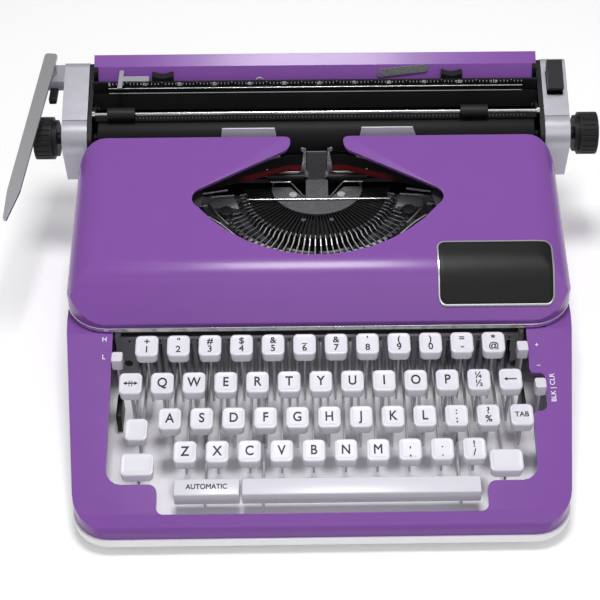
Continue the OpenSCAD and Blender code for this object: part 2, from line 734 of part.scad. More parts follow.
function table_line(t) = [table_low + [t, 0], table_crease + [t * 0.6, -t * 0.8], table_top + [0.3 * t, -t]];
module paper_table() color("mediumpurple") {
    along_x(-side_in, side_in) polygon(concat([table_low, table_crease, table_top],
        [table_line(table_t)[2], table_line(table_t)[1], table_line(table_t)[0]]));
    on_table() translate([0, 0, -table_t / 2]) cylinder(r = arm_pin_r, h = table_t / 2 + arm_t + 2 * gap);
}
// Carries a shape drawn in the plane of the table's lower panel to the arm's pin.
module on_table() {
    translate([arm_x, (table_low[0] + table_crease[0]) / 2, (table_low[1] + table_crease[1]) / 2])
        rotate([table_lean, 0, 0]) children();
}
table_lean = atan2(table_crease[1] - table_low[1], table_crease[0] - table_low[0]);
arm_x = 44;
arm_l = 31;
arm_w = 5.2;
arm_t = 1;
arm_pin_r = 1.5;
arm_rest = 6;

module platen() {
    platen_roller();
    platen_knobs();
}
module platen_roller() color("black") difference() {
    rod_x(-platen_half, platen_half, platen_y, platen_z, platen_r);
    rod_x(-platen_half - 1, platen_half + 1, platen_y, platen_z, shaft_r + fit / 2);
}
module knob() {
    difference() {
        union() {
            rod_x(knob_start, knob_start + knob_neck, platen_y, platen_z, knob_r - 2);
            rod_x(knob_start + knob_neck, knob_start + knob_l, platen_y, platen_z, knob_r);
        }
        for (a = [0:15:359]) translate([0, platen_y, platen_z]) rotate([a, 0, 0])
            rod_x(knob_start + knob_neck + 1.5, knob_start + knob_l - 1.5, knob_r + 0.2, 0, 0.8);
        rod_x(knob_start + knob_l - 2, knob_start + knob_l + over, platen_y, platen_z, knob_r - 4);
    }
}
module platen_knobs() color("black") {
    mirrored() knob();
    rod_x(-knob_start, knob_start, platen_y, platen_z, shaft_r);
}

// Return lever: a flat blade that falls towards the front and leans out to the left.
module return_lever() color("silver") difference() {
    hub_z = return_z - bracket_drop + bracket[2] + gap;
    translate([return_x, return_y, 0]) union() {
        translate([0, 0, hub_z]) cylinder(r = return_hub_r, h = return_hub_h);
        translate([0, 0, return_z]) rotate([0, 0, -return_lean]) rotate([return_pitch, 0, 0])
            slab(-return_t / 2, return_t / 2, rounded([[-4.2, lever_tail, 2], [-4.4, -return_l + 30, 20],
                [-1.5, -return_l, return_tip_r], [3.6, -return_l + 30, 20], [4.2, lever_tail, 2]], 4));
    }
    translate([return_x, return_y, hub_z - over]) cylinder(r = return_pin_r + fit, h = over + return_pin_h);
}

module paper_bail() {
    color("silver") {
        rod_x(-side_in + 1, side_in - 1, bail_y, bail_z, bail_rod_r);
        for (s = [-1, 1]) along_x(s * (side_in - 2) - 1, s * (side_in - 2) + 1) difference() {
            hull() {
                translate([bail_y, bail_z]) circle(r = 2.4, $fn = 16);
                translate(bail_pivot) circle(r = 3.6, $fn = 16);
            }
            translate(bail_pivot) circle(r = pivot_r + fit);
        }
        difference() {
            along_x(-side_in + 3, side_in - 3) polygon([[bail_y - 0.4, bail_z], [bail_y - 1.2, bail_z],
                [bail_y - 3, bail_z - 3.2], [bail_y - 2.4, bail_z - 3.4]]);
            for (x = bail_rollers) rod_x(x - bail_roller_l / 2 - gap, x + bail_roller_l / 2 + gap,
                bail_y, bail_z, bail_roller_r + gap);
        }
    }
    color("black") for (x = bail_rollers) difference() {
        rod_x(x - bail_roller_l / 2, x + bail_roller_l / 2, bail_y, bail_z, bail_roller_r);
        rod_x(x - bail_roller_l, x + bail_roller_l, bail_y, bail_z, bail_rod_r + fit / 2);
    }
}

module paper_release_lever() color("black") along_x(release_x[0], release_x[1]) difference() {
    union() {
        translate(release_pivot) circle(r = 4.5);
        translate(release_pivot) polygon([
            [-3, 0], [3, 0], [3, 14], [9, 21], [7, 25], [-12, 16], [-10, 12.5], [-3, 12]]);
    }
    translate(release_pivot) circle(r = pivot_r + fit);
}

module margin_stop(x) color("black") difference() {
    translate([x - stop_size[0] / 2, rack[0] - stop_size[1] / 2, rack[1] - 2 * rack_r]) cube(stop_size);
    rod_x(x - stop_size[0], x + stop_size[0], rack[0], rack[1], rack_r + fit);
    translate([x, rack[0], rack[1] + stop_dip_r + 7]) rotate([90, 0, 0])
        cylinder(r = stop_dip_r, h = 2 * stop_size[1], center = true);
}
stop_x = [-101, 90];
guide_x = [-127, -110];
module paper_guide() color("silver") {
    guide_low = scale_z[1] + gap;
    stem_l = guide_x[1] - guide_x[0];
    translate([guide_x[0], scale_y - 0.5, guide_low]) cube([stem_l, 5, guide_t]);
    translate([guide_x[0] - 3, scale_y - 8, guide_low]) cube([3, 19, guide_t]);
    translate([guide_x[0], scale_y - 0.5 + scale_t + gap, guide_low - 3]) cube([stem_l, 1, 3]);
}
module paper_support_arm() color("gray") on_table() rotate([0, 0, arm_rest]) difference() {
    translate([0, 0, gap]) linear_extrude(arm_t) union() {
        translate([0, -arm_w / 2]) square([arm_l - arm_w / 2, arm_w]);
        circle(r = arm_pin_r * 2);
        translate([arm_l - arm_w / 2, 0]) circle(r = arm_w / 2);
    }
    cylinder(r = arm_pin_r + fit, h = 10, center = true);
}

place() base_pan();
place() keyboard_housing();
place() rubber_feet();
place() chassis_frame();
place() type_segment();
place() typebars();
place() type_guide();
place() ribbon();
place() spool(-1);  // left_spool
place() spool(1);  // right_spool
place() top_cover();
place() cover_trim();
place() carriage_frame();
place() carriage_end_covers();
place() paper_table();
place() platen();
place() return_lever();
place() paper_bail();
place() paper_release_lever();
place() margin_stop(stop_x[0]);  // left_margin_stop
place() margin_stop(stop_x[1]);  // right_margin_stop
place() paper_guide();
place() paper_support_arm();
place() touch_lever();
place() impression_lever();
place() ribbon_selector();
place() long_bar(space_ends, space_arms);  // space_bar
place() long_bar(repeat_ends, repeat_arms);  // repeat_bar
place() shift_keys();
place() key_at(tab_x, row_y(2), row_z(2));  // tab_key
place() key(BACK_KEY);  // backspace_key
place() key(MARGIN_KEY);  // margin_release_key
place() for (k = NUMBER_KEYS) key(k);  // number_row_keys
place() for (k = PUNCTUATION_KEYS) key(k);  // punctuation_keys
for (k = LETTERS) place() key([k[1], k[2]]);
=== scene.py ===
# %% [markdown]
# # Dressing a manual typewriter
# The imported model is the machine as it was built: sixty named pieces at their real size, in metres, each
# riding on the body that moves it. It is loaded first and never moved.

# %% Load the frame
import json
import math

import bpy
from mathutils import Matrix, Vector

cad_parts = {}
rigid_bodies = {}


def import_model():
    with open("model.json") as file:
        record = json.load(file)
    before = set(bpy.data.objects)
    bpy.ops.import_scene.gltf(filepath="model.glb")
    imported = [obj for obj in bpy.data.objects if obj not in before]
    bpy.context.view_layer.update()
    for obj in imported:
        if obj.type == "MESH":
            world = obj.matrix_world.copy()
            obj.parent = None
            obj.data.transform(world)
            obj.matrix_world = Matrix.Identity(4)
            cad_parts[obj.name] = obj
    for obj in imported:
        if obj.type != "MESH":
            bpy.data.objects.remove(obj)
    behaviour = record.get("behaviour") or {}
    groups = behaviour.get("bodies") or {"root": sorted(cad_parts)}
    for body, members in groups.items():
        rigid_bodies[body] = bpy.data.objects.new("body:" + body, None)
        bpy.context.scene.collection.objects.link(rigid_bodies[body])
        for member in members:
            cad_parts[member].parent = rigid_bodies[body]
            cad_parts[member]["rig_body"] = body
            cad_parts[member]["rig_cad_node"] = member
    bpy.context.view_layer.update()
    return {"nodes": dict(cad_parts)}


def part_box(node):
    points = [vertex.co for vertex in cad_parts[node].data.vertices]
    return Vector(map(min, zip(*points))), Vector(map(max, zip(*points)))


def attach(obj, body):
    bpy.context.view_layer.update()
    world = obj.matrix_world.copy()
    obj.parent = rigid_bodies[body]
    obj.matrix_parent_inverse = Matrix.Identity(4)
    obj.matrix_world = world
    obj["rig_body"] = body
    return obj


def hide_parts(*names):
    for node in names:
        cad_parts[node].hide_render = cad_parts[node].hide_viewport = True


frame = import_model()
MM = 0.001
pan_low, pan_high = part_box("base_pan")
CENTRE = (pan_low + pan_high) / 2


def at(x, y, z):
    """A place in millimetres from the machine's centre plane, the middle of its housing and the table."""
    return Vector((CENTRE.x + x * MM, CENTRE.y + y * MM, z * MM))


# %% [markdown]
# ## Camera
# The picture looks down at the machine from the typist's side, at a little over 45 degrees, through a
# long lens. A long lens keeps the rows of keys nearly parallel. The camera is aimed with a direction,
# which is easier to read than angles.

# %% Camera
VIEW_DOWN = math.radians(45.5)
VIEW_ASIDE = math.radians(0.9)
VIEW_DISTANCE = 0.9
VIEW_LENS = 86.4
PICTURE_SIDE = 600
VIEW_SHIFT = (-19 / PICTURE_SIDE, -2 / PICTURE_SIDE)
VIEW_TARGET = at(0, -2, 60)
level = math.cos(VIEW_DOWN)
look = Vector((level * math.sin(VIEW_ASIDE), level * math.cos(VIEW_ASIDE), -math.sin(VIEW_DOWN)))
bpy.ops.object.camera_add(location=VIEW_TARGET - look * VIEW_DISTANCE,
                          rotation=look.to_track_quat("-Z", "Y").to_euler())
camera = bpy.context.object
camera.data.lens = VIEW_LENS
camera.data.shift_x, camera.data.shift_y = VIEW_SHIFT
bpy.context.scene.camera = camera
bpy.context.scene.view_settings.view_transform = "Standard"
print("camera looks along", [round(part, 3) for part in look])

# %% [markdown]
# ## Shader tools
# A finish is a small graph of shader nodes. These helpers add a node, feed a socket and mix two colours,
# so that each finish below reads as a recipe. A socket takes a plain value or the output that feeds it.


# %% Shader tools
def feed(tree, socket, value):
    """Links an output to a socket, or sets the socket to a plain value."""
    if isinstance(value, bpy.types.NodeSocket):
        tree.links.new(value, socket)
    else:
        socket.default_value = value


def add(tree, kind, options=None, **sockets):
    """Adds a shader node with its options and sockets."""
    made = tree.nodes.new("ShaderNode" + kind)
    for name, value in (options or {}).items():
        setattr(made, name, value)
    for name, value in sockets.items():
        feed(tree, made.inputs[name.replace("_", " ")], value)
    return made


def reckon(tree, operation, *values, kind="Math"):
    """The number that a Math or VectorMath node works out."""
    made = add(tree, kind, {"operation": operation})
    for socket, value in zip(made.inputs, values):
        feed(tree, socket, value)
    return made.outputs["Value"]


def mix(tree, share, first, second):
    """The output of a colour Mix node."""
    made = add(tree, "Mix", {"data_type": "RGBA"})
    for index, value in ((0, share), (6, first), (7, second)):
        feed(tree, made.inputs[index], value)
    return made.outputs[2]


def own_place(tree):
    """The place on a piece, in the piece's own coordinates."""
    return add(tree, "TexCoord").outputs["Object"]


def axis_of(tree, vector, axis):
    """One coordinate of a vector."""
    return add(tree, "SeparateXYZ", Vector=vector).outputs[axis]


def rgb(colour, share=1.0):
    """A colour times a share, with full alpha."""
    return [part * share for part in colour] + [1.0]


print("shader tools are ready")

# %% [markdown]
# ## Floor and light
# A product picture of this kind is lit by soft boxes with pale surroundings: a strong box above the
# machine, and a weak one behind the camera that lifts the fronts of the keys. The surroundings fade from
# the zenith to the horizon, so that bright metal has something to reflect. The floor is plain and pale.
# Only the camera and reflections see it lifted a little towards white, so it throws no more light on the
# machine.

# %% Floor and light
FLOOR_SIZE, FLOOR_DROP, FLOOR_LIFT = 8.0, 0.2 * MM, 0.1
HORIZON_GLOW, ZENITH_GLOW = 0.34, 0.50
LAMP_TARGET = at(0, 0, 60)
world = bpy.data.worlds.new("Studio")
bpy.context.scene.world = world
world.use_nodes = True
sky = world.node_tree
height = axis_of(sky, add(sky, "TexCoord").outputs["Generated"], "Z")
glow = add(sky, "MapRange", Value=height, To_Min=HORIZON_GLOW, To_Max=ZENITH_GLOW)
sky.nodes["Background"].inputs["Color"].default_value = (1, 1, 1, 1)
feed(sky, sky.nodes["Background"].inputs["Strength"], glow.outputs["Result"])


def softbox(name, place, size, power):
    """A square lamp that is aimed at the middle of the machine."""
    bpy.ops.object.light_add(type="AREA", location=place)
    lamp = bpy.context.object
    lamp.name = name
    lamp.data.size = size
    lamp.data.energy = power
    lamp.rotation_euler = (LAMP_TARGET - place).to_track_quat("-Z", "Y").to_euler()


def start_clean():
    """Deselects everything, so that the next operator acts on its own piece alone."""
    bpy.ops.object.select_all(action="DESELECT")


softbox("overhead_box", at(0, -10, 1150), size=0.24, power=7.3)
softbox("front_box", at(150, -760, 960), size=0.7, power=1.8)

start_clean()
bpy.ops.mesh.primitive_plane_add(size=FLOOR_SIZE, location=(0, 0, -FLOOR_DROP))
floor = bpy.context.object
floor.name = "floor"
pale = bpy.data.materials.new("Pale floor")
pale.use_nodes = True
tree = pale.node_tree
paper = tree.nodes["Principled BSDF"].inputs
seen = add(tree, "LightPath").outputs
shown = reckon(tree, "MAXIMUM", seen["Is Camera Ray"],
               reckon(tree, "MAXIMUM", seen["Is Glossy Ray"], seen["Is Transmission Ray"]))
feed(tree, paper["Emission Strength"], reckon(tree, "MULTIPLY", shown, FLOOR_LIFT))
paper["Emission Color"].default_value = (1, 1, 1, 1)
paper["Base Color"].default_value = (0.95, 0.95, 0.95, 1)
paper["Roughness"].default_value = 1.0
paper["Specular IOR Level"].default_value = 0.0
floor.data.materials.append(pale)
print("floor", FLOOR_SIZE, "m, two soft boxes")

# %% [markdown]
# ## Two effects that most finishes share
# Enamel, plastic and steel all have a fine grain and slow, broad changes of tone, so one group gives
# both: a height for the bump and a mottle for the colour. Edges on real parts are never knife sharp. The
# second group rounds them in the shading, and marks where they are, so that paint can be thinner there
# and steel can be rubbed bright.

# %% Shared effects
BROAD_SHARE = 0.04
EDGE_GAIN = 6.0


def new_group(name, takes, gives):
    """A shader group with named sockets. Returns its tree, its input node and its output node."""
    group = bpy.data.node_groups.new(name, "ShaderNodeTree")
    for label, kind in takes.items():
        group.interface.new_socket(label, in_out="INPUT", socket_type="NodeSocket" + kind)
    for label, kind in gives.items():
        group.interface.new_socket(label, in_out="OUTPUT", socket_type="NodeSocket" + kind)
    return group, group.nodes.new("NodeGroupInput"), group.nodes.new("NodeGroupOutput")


FINE_GRAIN, given, result = new_group("Fine grain", {"Vector": "Vector", "Scale": "Float"},
                                      {"Height": "Float", "Mottle": "Float"})
place, scale = given.outputs["Vector"], given.outputs["Scale"]
fine = add(FINE_GRAIN, "TexNoise", Vector=place, Scale=scale, Detail=3.0)
broad_scale = reckon(FINE_GRAIN, "MULTIPLY", scale, BROAD_SHARE)
broad = add(FINE_GRAIN, "TexNoise", Vector=place, Scale=broad_scale, Detail=2.0)
feed(FINE_GRAIN, result.inputs["Height"], fine.outputs[0])
feed(FINE_GRAIN, result.inputs["Mottle"], broad.outputs[0])

SOFT_EDGES, given, result = new_group("Soft edges", {"Radius": "Float"},
                                      {"Normal": "Vector", "Edge": "Float"})
rounded = add(SOFT_EDGES, "Bevel", {"samples": 6}, Radius=given.outputs["Radius"]).outputs["Normal"]
true_normal = add(SOFT_EDGES, "NewGeometry").outputs["Normal"]
agree = reckon(SOFT_EDGES, "DOT_PRODUCT", rounded, true_normal, kind="VectorMath")
bent = reckon(SOFT_EDGES, "MULTIPLY", reckon(SOFT_EDGES, "SUBTRACT", 1.0, agree), EDGE_GAIN)
feed(SOFT_EDGES, result.inputs["Normal"], rounded)
feed(SOFT_EDGES, result.inputs["Edge"], reckon(SOFT_EDGES, "MINIMUM", bent, 1.0))
print("groups:", FINE_GRAIN.name, "and", SOFT_EDGES.name)

# %% [markdown]
# ## Finishes
# One recipe makes most of the finishes: a colour that drifts a little, a roughness that drifts with it, a
# fine bump and rounded edges. What differs is how rough, how metallic and how worn each one is.

# %% The general finish
GRAIN_DEPTH = 0.2 * MM
COAT_ROUGHNESS = 0.12


def finish(name, colour, rough, metal=0.0, coat=0.0, specular=0.5, scale=1500.0, bump=0.1, mottle=0.05,
           worn=None, wear=0.5, edge=0.3 * MM, stretch=None, drift=0.03):
    """A material with drifting colour and roughness, fine grain, and rounded edges that may be worn."""
    material = bpy.data.materials.new(name)
    material.use_nodes = True
    tree = material.node_tree
    shader = tree.nodes["Principled BSDF"]
    place = own_place(tree)
    if stretch:
        place = add(tree, "Mapping", Vector=place, Scale=stretch).outputs["Vector"]
    grain = add(tree, "Group", {"node_tree": FINE_GRAIN}, Vector=place, Scale=scale)
    edges = add(tree, "Group", {"node_tree": SOFT_EDGES}, Radius=edge)
    cloud = grain.outputs["Mottle"]
    tint = mix(tree, cloud, rgb(colour, 1 - mottle), rgb(colour, 1 + mottle))
    if worn:
        tint = mix(tree, reckon(tree, "MULTIPLY", edges.outputs["Edge"], wear), tint, rgb(worn))
    spread = add(tree, "MapRange", Value=cloud, To_Min=rough - drift, To_Max=rough + drift)
    relief = add(tree, "Bump", Strength=bump, Distance=GRAIN_DEPTH, Height=grain.outputs["Height"],
                 Normal=edges.outputs["Normal"])
    feed(tree, shader.inputs["Base Color"], tint)
    feed(tree, shader.inputs["Roughness"], spread.outputs["Result"])
    feed(tree, shader.inputs["Normal"], relief.outputs["Normal"])
    shader.inputs["Metallic"].default_value = metal
    shader.inputs["Coat Weight"].default_value = coat
    shader.inputs["Coat Roughness"].default_value = COAT_ROUGHNESS
    shader.inputs["Specular IOR Level"].default_value = specular
    return material


print("one recipe for the finishes")

# %% [markdown]
# The violet enamel, the silver lacquer and the key plastic have a thin clear coat. Satin, lever and
# bright steel are metallic with a grain drawn out from front to back. Black parts reflect less than
# plastic does by default, or they would turn grey under the white surroundings.

# %% Enamel, plastic, rubber and steel
VIOLET = (0.205, 0.073, 0.335)
violet_enamel = finish("Violet enamel", VIOLET, 0.23, coat=0.05, specular=0.2, scale=1100, bump=0.05,
                       mottle=0.03, worn=(0.42, 0.27, 0.56), wear=0.4, edge=0.4 * MM)
pale_enamel = finish("Pale enamel", (0.93, 0.92, 0.95), 0.45, scale=1300, bump=0.04, mottle=0.02)
silver_lacquer = finish("Silver lacquer", (0.46, 0.455, 0.51), 0.3, metal=0.55, coat=0.1, scale=4000,
                        bump=0.04)
black_enamel = finish("Black enamel", (0.006, 0.006, 0.007), 0.42, specular=0.22, scale=1800, bump=0.08,
                      worn=(0.05, 0.05, 0.055), wear=0.35)
black_plastic = finish("Black plastic", (0.008, 0.008, 0.009), 0.46, specular=0.25, scale=3000, bump=0.12,
                       worn=(0.04, 0.04, 0.045), wear=0.3)
polished_plate = finish("Polished plate", (0.72, 0.73, 0.74), 0.2, metal=1.0, scale=900, bump=0.0,
                        mottle=0.02, edge=0.05 * MM)
satin_steel = finish("Satin steel", (0.47, 0.47, 0.49), 0.36, metal=1.0, scale=700, bump=0.08, mottle=0.06,
                     stretch=(1.0, 0.08, 0.3))
lever_steel = finish("Lever steel", (0.56, 0.56, 0.58), 0.45, metal=1.0, scale=700, bump=0.1, mottle=0.1,
                     stretch=(0.3, 0.05, 1.0))
bright_steel = finish("Bright steel", (0.62, 0.62, 0.64), 0.27, metal=1.0, scale=700, bump=0.12,
                      mottle=0.08, stretch=(1.0, 0.08, 0.3))
grey_steel = finish("Grey steel", (0.10, 0.098, 0.11), 0.45, metal=0.75, scale=1600, bump=0.15, mottle=0.16,
                    worn=(0.35, 0.35, 0.37), wear=0.5, drift=0.06)
comb_steel = finish("Comb steel", (0.27, 0.265, 0.28), 0.5, metal=0.3, scale=1600, bump=0.1, mottle=0.12,
                    worn=(0.4, 0.4, 0.42), wear=0.4, drift=0.06)
black_casting = finish("Black casting", (0.012, 0.012, 0.013), 0.4, metal=0.3, specular=0.3, scale=2200,
                       bump=0.2, mottle=0.2, worn=(0.10, 0.10, 0.11), wear=0.5, drift=0.06)
key_plastic = finish("Key plastic", (0.67, 0.655, 0.725), 0.32, coat=0.06, scale=2600, bump=0.02,
                     mottle=0.015, edge=0.2 * MM, drift=0.015)
ground_rubber = finish("Ground rubber", (0.007, 0.007, 0.008), 0.45, specular=0.1, scale=3500, bump=0.1,
                       mottle=0.12)
foot_rubber = finish("Foot rubber", (0.012, 0.012, 0.012), 0.65, specular=0.3, scale=2500, bump=0.3,
                     mottle=0.15)
legend_ink = finish("Legend ink", (0.010, 0.009, 0.016), 0.4, specular=0.3, scale=3000, bump=0.03,
                    mottle=0.1)
white_mark = finish("White mark", (0.80, 0.79, 0.82), 0.5, scale=3000, bump=0.03, mottle=0.04)
speckled_plate = finish("Speckled plate", (0.125, 0.125, 0.135), 0.45, metal=0.3, scale=24000, bump=0.3,
                        mottle=0.8, worn=(0.55, 0.55, 0.57), wear=0.5, drift=0.1)
card_silver = finish("Card silver", (0.66, 0.66, 0.70), 0.35, metal=0.3, scale=900, bump=0.04, mottle=0.04)
screw_steel = finish("Screw steel", (0.55, 0.55, 0.57), 0.4, metal=0.4, scale=1500, bump=0.05, mottle=0.1)
print("finishes:", len(bpy.data.materials))

# %% [markdown]
# Three finishes change with place. The typebars have painted shade near the middle of the basket, where
# they lie in the slots of the segment, and are bright at their bends. The ribbon is red along its lower
# half, and painted shade turns it black all over where it runs off to the spools. The housing is enamelled,
# with painted shade on the inner face of its rear wall. Such a finish is the general one with its colour
# blended into another by a height, a distance or a direction.

# %% Finishes that change with place
BASKET_Y = 88
SLOT_SHADE_FULL, SLOT_SHADE_GONE = 45.5 * MM, 47 * MM
RED_TOP, BLACK_FOOT = 84.4 * MM, 84.8 * MM
RIBBON_SHADE_START, RIBBON_SHADE_FULL = 44 * MM, 52 * MM
REAR_WALL_Y = 140
FACING_IN, FACING_ASIDE = -0.7, -0.4
RIBBON_BLACK = (0.012, 0.011, 0.012)


def tone_by(material, other, measure, low, high):
    """Gives a material another colour where a measure is at low, and keeps its own where it is at high."""
    tree = material.node_tree
    share = add(tree, "MapRange", Value=measure, From_Min=low, From_Max=high).outputs["Result"]
    colour = tree.nodes["Principled BSDF"].inputs["Base Color"]
    feed(tree, colour, mix(tree, share, rgb(other), colour.links[0].from_socket))


typebar_steel = finish("Typebar steel", (0.80, 0.80, 0.82), 0.2, metal=1.0, scale=900, bump=0.05,
                       mottle=0.06)
# Painted shade: the bars turn near black inside the slotted segment, where they lie in shade between its
# ribs.
tree = typebar_steel.node_tree
in_plan = add(tree, "Mapping", Vector=own_place(tree), Scale=(1, 1, 0)).outputs["Vector"]
from_axis = reckon(tree, "DISTANCE", in_plan, at(0, BASKET_Y, 0), kind="VectorMath")
tone_by(typebar_steel, (0.03, 0.03, 0.033), from_axis, SLOT_SHADE_FULL, SLOT_SHADE_GONE)

inked_cloth = finish("Inked cloth", RIBBON_BLACK, 0.7, specular=0.2, scale=6000, bump=0.3, mottle=0.2)
tree = inked_cloth.node_tree
tone_by(inked_cloth, (0.19, 0.012, 0.016), axis_of(tree, own_place(tree), "Z"), RED_TOP, BLACK_FOOT)
# Painted shade: away from the hooks the ribbon turns black all over, where it runs into shade towards the
# spools.
across = reckon(tree, "SUBTRACT", axis_of(tree, own_place(tree), "X"), CENTRE.x)
tone_by(inked_cloth, RIBBON_BLACK, reckon(tree, "ABSOLUTE", across), RIBBON_SHADE_FULL, RIBBON_SHADE_START)

# Painted shade: the inner face of the housing's rear wall, behind the basket, is painted near black.
shell_enamel = violet_enamel.copy()
shell_enamel.name = "Violet enamel, shaded inside"
tree = shell_enamel.node_tree
before_wall = add(tree, "MapRange", Value=axis_of(tree, own_place(tree), "Y"),
                  From_Min=at(0, REAR_WALL_Y + 1, 0).y, From_Max=at(0, REAR_WALL_Y, 0).y)
facing = axis_of(tree, add(tree, "NewGeometry").outputs["Normal"], "Y")
outside = add(tree, "MapRange", Value=facing, From_Min=FACING_IN, From_Max=FACING_ASIDE)
unshaded_share = reckon(tree, "MAXIMUM", before_wall.outputs["Result"], outside.outputs["Result"])
tone_by(shell_enamel, (0.012, 0.011, 0.013), unshaded_share, 0.0, 1.0)
print("finishes with the changing ones:", len(bpy.data.materials))

# %% [markdown]
# ## Modelling tools
# The pieces are shaped as by hand: pick one, mark some of its faces, edges or points by place or
# direction, then turn, resize, inset or bevel what is marked. A finished piece has its place in its mesh
# and its object at the origin, as a CAD node has.


# %% Picking and marking
def pick(*pieces):
    """Leaves edit mode and selects only these pieces. The first one becomes active."""
    if bpy.context.object and bpy.context.object.mode != "OBJECT":
        bpy.ops.object.mode_set(mode="OBJECT")
    start_clean()
    for piece in pieces:
        piece.select_set(True)
    bpy.context.view_layer.objects.active = pieces[0]
    return pieces[0]


def mark(piece, test, kind="FACE"):
    """Goes into edit mode with only the faces, edges or points marked that pass test(place, direction)."""
    pick(piece)
    bpy.ops.object.mode_set(mode="EDIT")
    bpy.ops.mesh.select_mode(type=kind)
    bpy.ops.mesh.select_all(action="DESELECT")
    bpy.ops.object.mode_set(mode="OBJECT")
    points = piece.data.vertices
    if kind == "FACE":
        for face in piece.data.polygons:
            face.select = bool(test(face.center, face.normal))
    elif kind == "EDGE":
        for edge in piece.data.edges:
            start, end = (points[i].co for i in edge.vertices)
            edge.select = bool(test((start + end) / 2, (end - start).normalized()))
    else:
        for point in points:
            point.select = bool(test(point.co, point.normal))
    bpy.ops.object.mode_set(mode="EDIT")


def mark_all(piece):
    """Goes into edit mode with the whole piece marked."""
    mark(piece, lambda place, way: True)


def turn_marked(angle, axis, centre):
    """Turns what is marked about an axis through a point. Without a window the sign is reversed."""
    aim = axis.to_track_quat("Z", "Y").to_matrix()
    bpy.ops.transform.rotate(value=-angle, orient_axis="Z", orient_matrix=aim, center_override=centre)


def stretch(piece, factors, centre):
    """Stretches a whole piece from a centre."""
    mark_all(piece)
    bpy.ops.transform.resize(value=factors, center_override=centre)
    return pick(piece)


print("picking and marking are ready")

# %% [markdown]
# Most pieces start as a box between two corners or as a round bar between two points. Both are named for
# what they become, and their place and turn go into the mesh at once.


# %% Starts
def settle(piece):
    """Puts the piece's place, turn and size into its mesh."""
    pick(piece)
    bpy.ops.object.transform_apply(location=True, rotation=True, scale=True)
    return piece


def added(name):
    """Names and settles the piece that an operator has just added."""
    bpy.context.object.name = name
    return settle(bpy.context.object)


def block(name, low, high):
    """A box between two corners, as a start."""
    start_clean()
    bpy.ops.mesh.primitive_cube_add(size=1, location=(low + high) / 2, scale=high - low)
    return added(name)


def rod(name, start, end, radius, sides=20):
    """A round bar between two points, as a start."""
    along = end - start
    start_clean()
    bpy.ops.mesh.primitive_cylinder_add(vertices=sides, radius=radius, depth=along.length,
                                        location=(start + end) / 2,
                                        rotation=along.to_track_quat("Z", "Y").to_euler())
    return added(name)


print("blocks and rods can be started")

# %% [markdown]
# A piece is finished with modifiers that are applied at once, so its mesh is final. Then it is dressed:
# it gets its finish, it is put on the body that moves it, and the CAD nodes that it stands for are hidden.


# %% Finishing and dressing
def apply_modifier(piece, kind, **settings):
    """Adds a modifier with these settings and applies it."""
    pick(piece)
    modifier = piece.modifiers.new(kind.title(), kind)
    for name, value in settings.items():
        setattr(modifier, name, value)
    bpy.ops.object.modifier_apply(modifier=modifier.name)
    return piece


def smooth(piece, angle=35):
    """Shades round stretches smooth and keeps corners above the angle crisp."""
    pick(piece)
    bpy.ops.object.shade_smooth_by_angle(angle=math.radians(angle))
    return piece


def soften(piece, width, segments=2):
    """Rounds every sharp edge of a piece."""
    apply_modifier(piece, "BEVEL", width=width, segments=segments, limit_method="ANGLE")
    return smooth(piece)


def copy_of(piece, name, shift):
    """A copy with its own mesh, moved by shift."""
    pick(piece)
    bpy.ops.object.duplicate()
    bpy.context.object.location = shift
    return added(name)


def join(name, pieces):
    """Several pieces as one."""
    pick(*pieces)
    if len(pieces) > 1:
        bpy.ops.object.join()
    bpy.context.object.name = name
    return bpy.context.object


def drop(piece):
    """Takes away a master piece once its copies are made."""
    bpy.data.objects.remove(piece)


def dress(piece, material, body, slot, *nodes):
    """Gives a piece its finish, the body that it rides on and the nodes that it stands for. The slot is not
    used.
    """
    piece.data.materials.clear()
    piece.data.materials.append(material)
    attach(piece, body)
    if nodes:
        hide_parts(*nodes)
    return piece


print("pieces can be finished and dressed")

# %% [markdown]
# ## Copies of CAD pieces
# The pressed shells keep the shape that CAD gave them, but their round stretches are made of flats. A
# copy of the node is welded, its flat triangles are joined, its edges are rounded for real and its
# normals are weighted by face area. That makes smooth sheet metal out of the same shape. A node of
# several solids can also be copied in part, solid by solid.

# %% Copies of CAD pieces
WELD, CUT_WELD = 0.002 * MM, 0.001 * MM
FLAT_ENOUGH = math.radians(0.6)


def node_copy(node, name):
    """A welded copy of a CAD node, free of the frame."""
    pick(frame["nodes"][node])
    bpy.ops.object.duplicate()
    piece = bpy.context.object
    piece.name = name
    piece.parent = None
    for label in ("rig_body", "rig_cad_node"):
        del piece[label]
    bpy.ops.object.mode_set(mode="EDIT")
    bpy.ops.mesh.select_all(action="SELECT")
    bpy.ops.mesh.customdata_custom_splitnormals_clear()
    bpy.ops.mesh.remove_doubles(threshold=WELD)
    bpy.ops.mesh.dissolve_limited(angle_limit=FLAT_ENOUGH)
    bpy.ops.object.mode_set(mode="OBJECT")
    return piece


def without(piece, test):
    """Deletes every separate solid of a piece that has a point passing the test."""
    mark(piece, lambda place, way: test(place), "VERT")
    bpy.ops.mesh.select_linked()
    bpy.ops.mesh.delete(type="VERT")
    return pick(piece)


def slice_of(piece, *cuts):
    """Cuts a piece along planes and closes it. Each cut is a point and the way to what is taken off."""
    for point, away in cuts:
        mark_all(piece)
        bpy.ops.mesh.bisect(plane_co=point, plane_no=away, clear_outer=True, threshold=CUT_WELD)
        bpy.ops.mesh.select_all(action="SELECT")
        bpy.ops.mesh.fill_holes(sides=0)
        bpy.ops.mesh.normals_make_consistent(inside=False)
    return pick(piece)


def polish(piece, width=0.0, angle=35):
    """Rounds the edges by a width, if any, and evens out the normals."""
    if width:
        apply_modifier(piece, "BEVEL", width=width, segments=2, limit_method="ANGLE",
                       angle_limit=math.radians(angle), use_clamp_overlap=True)
    smooth(piece, angle)
    return apply_modifier(piece, "WEIGHTED_NORMAL", keep_sharp=True)


print("copies can be made of", ", ".join(sorted(frame["nodes"])[:5]), "and the rest")

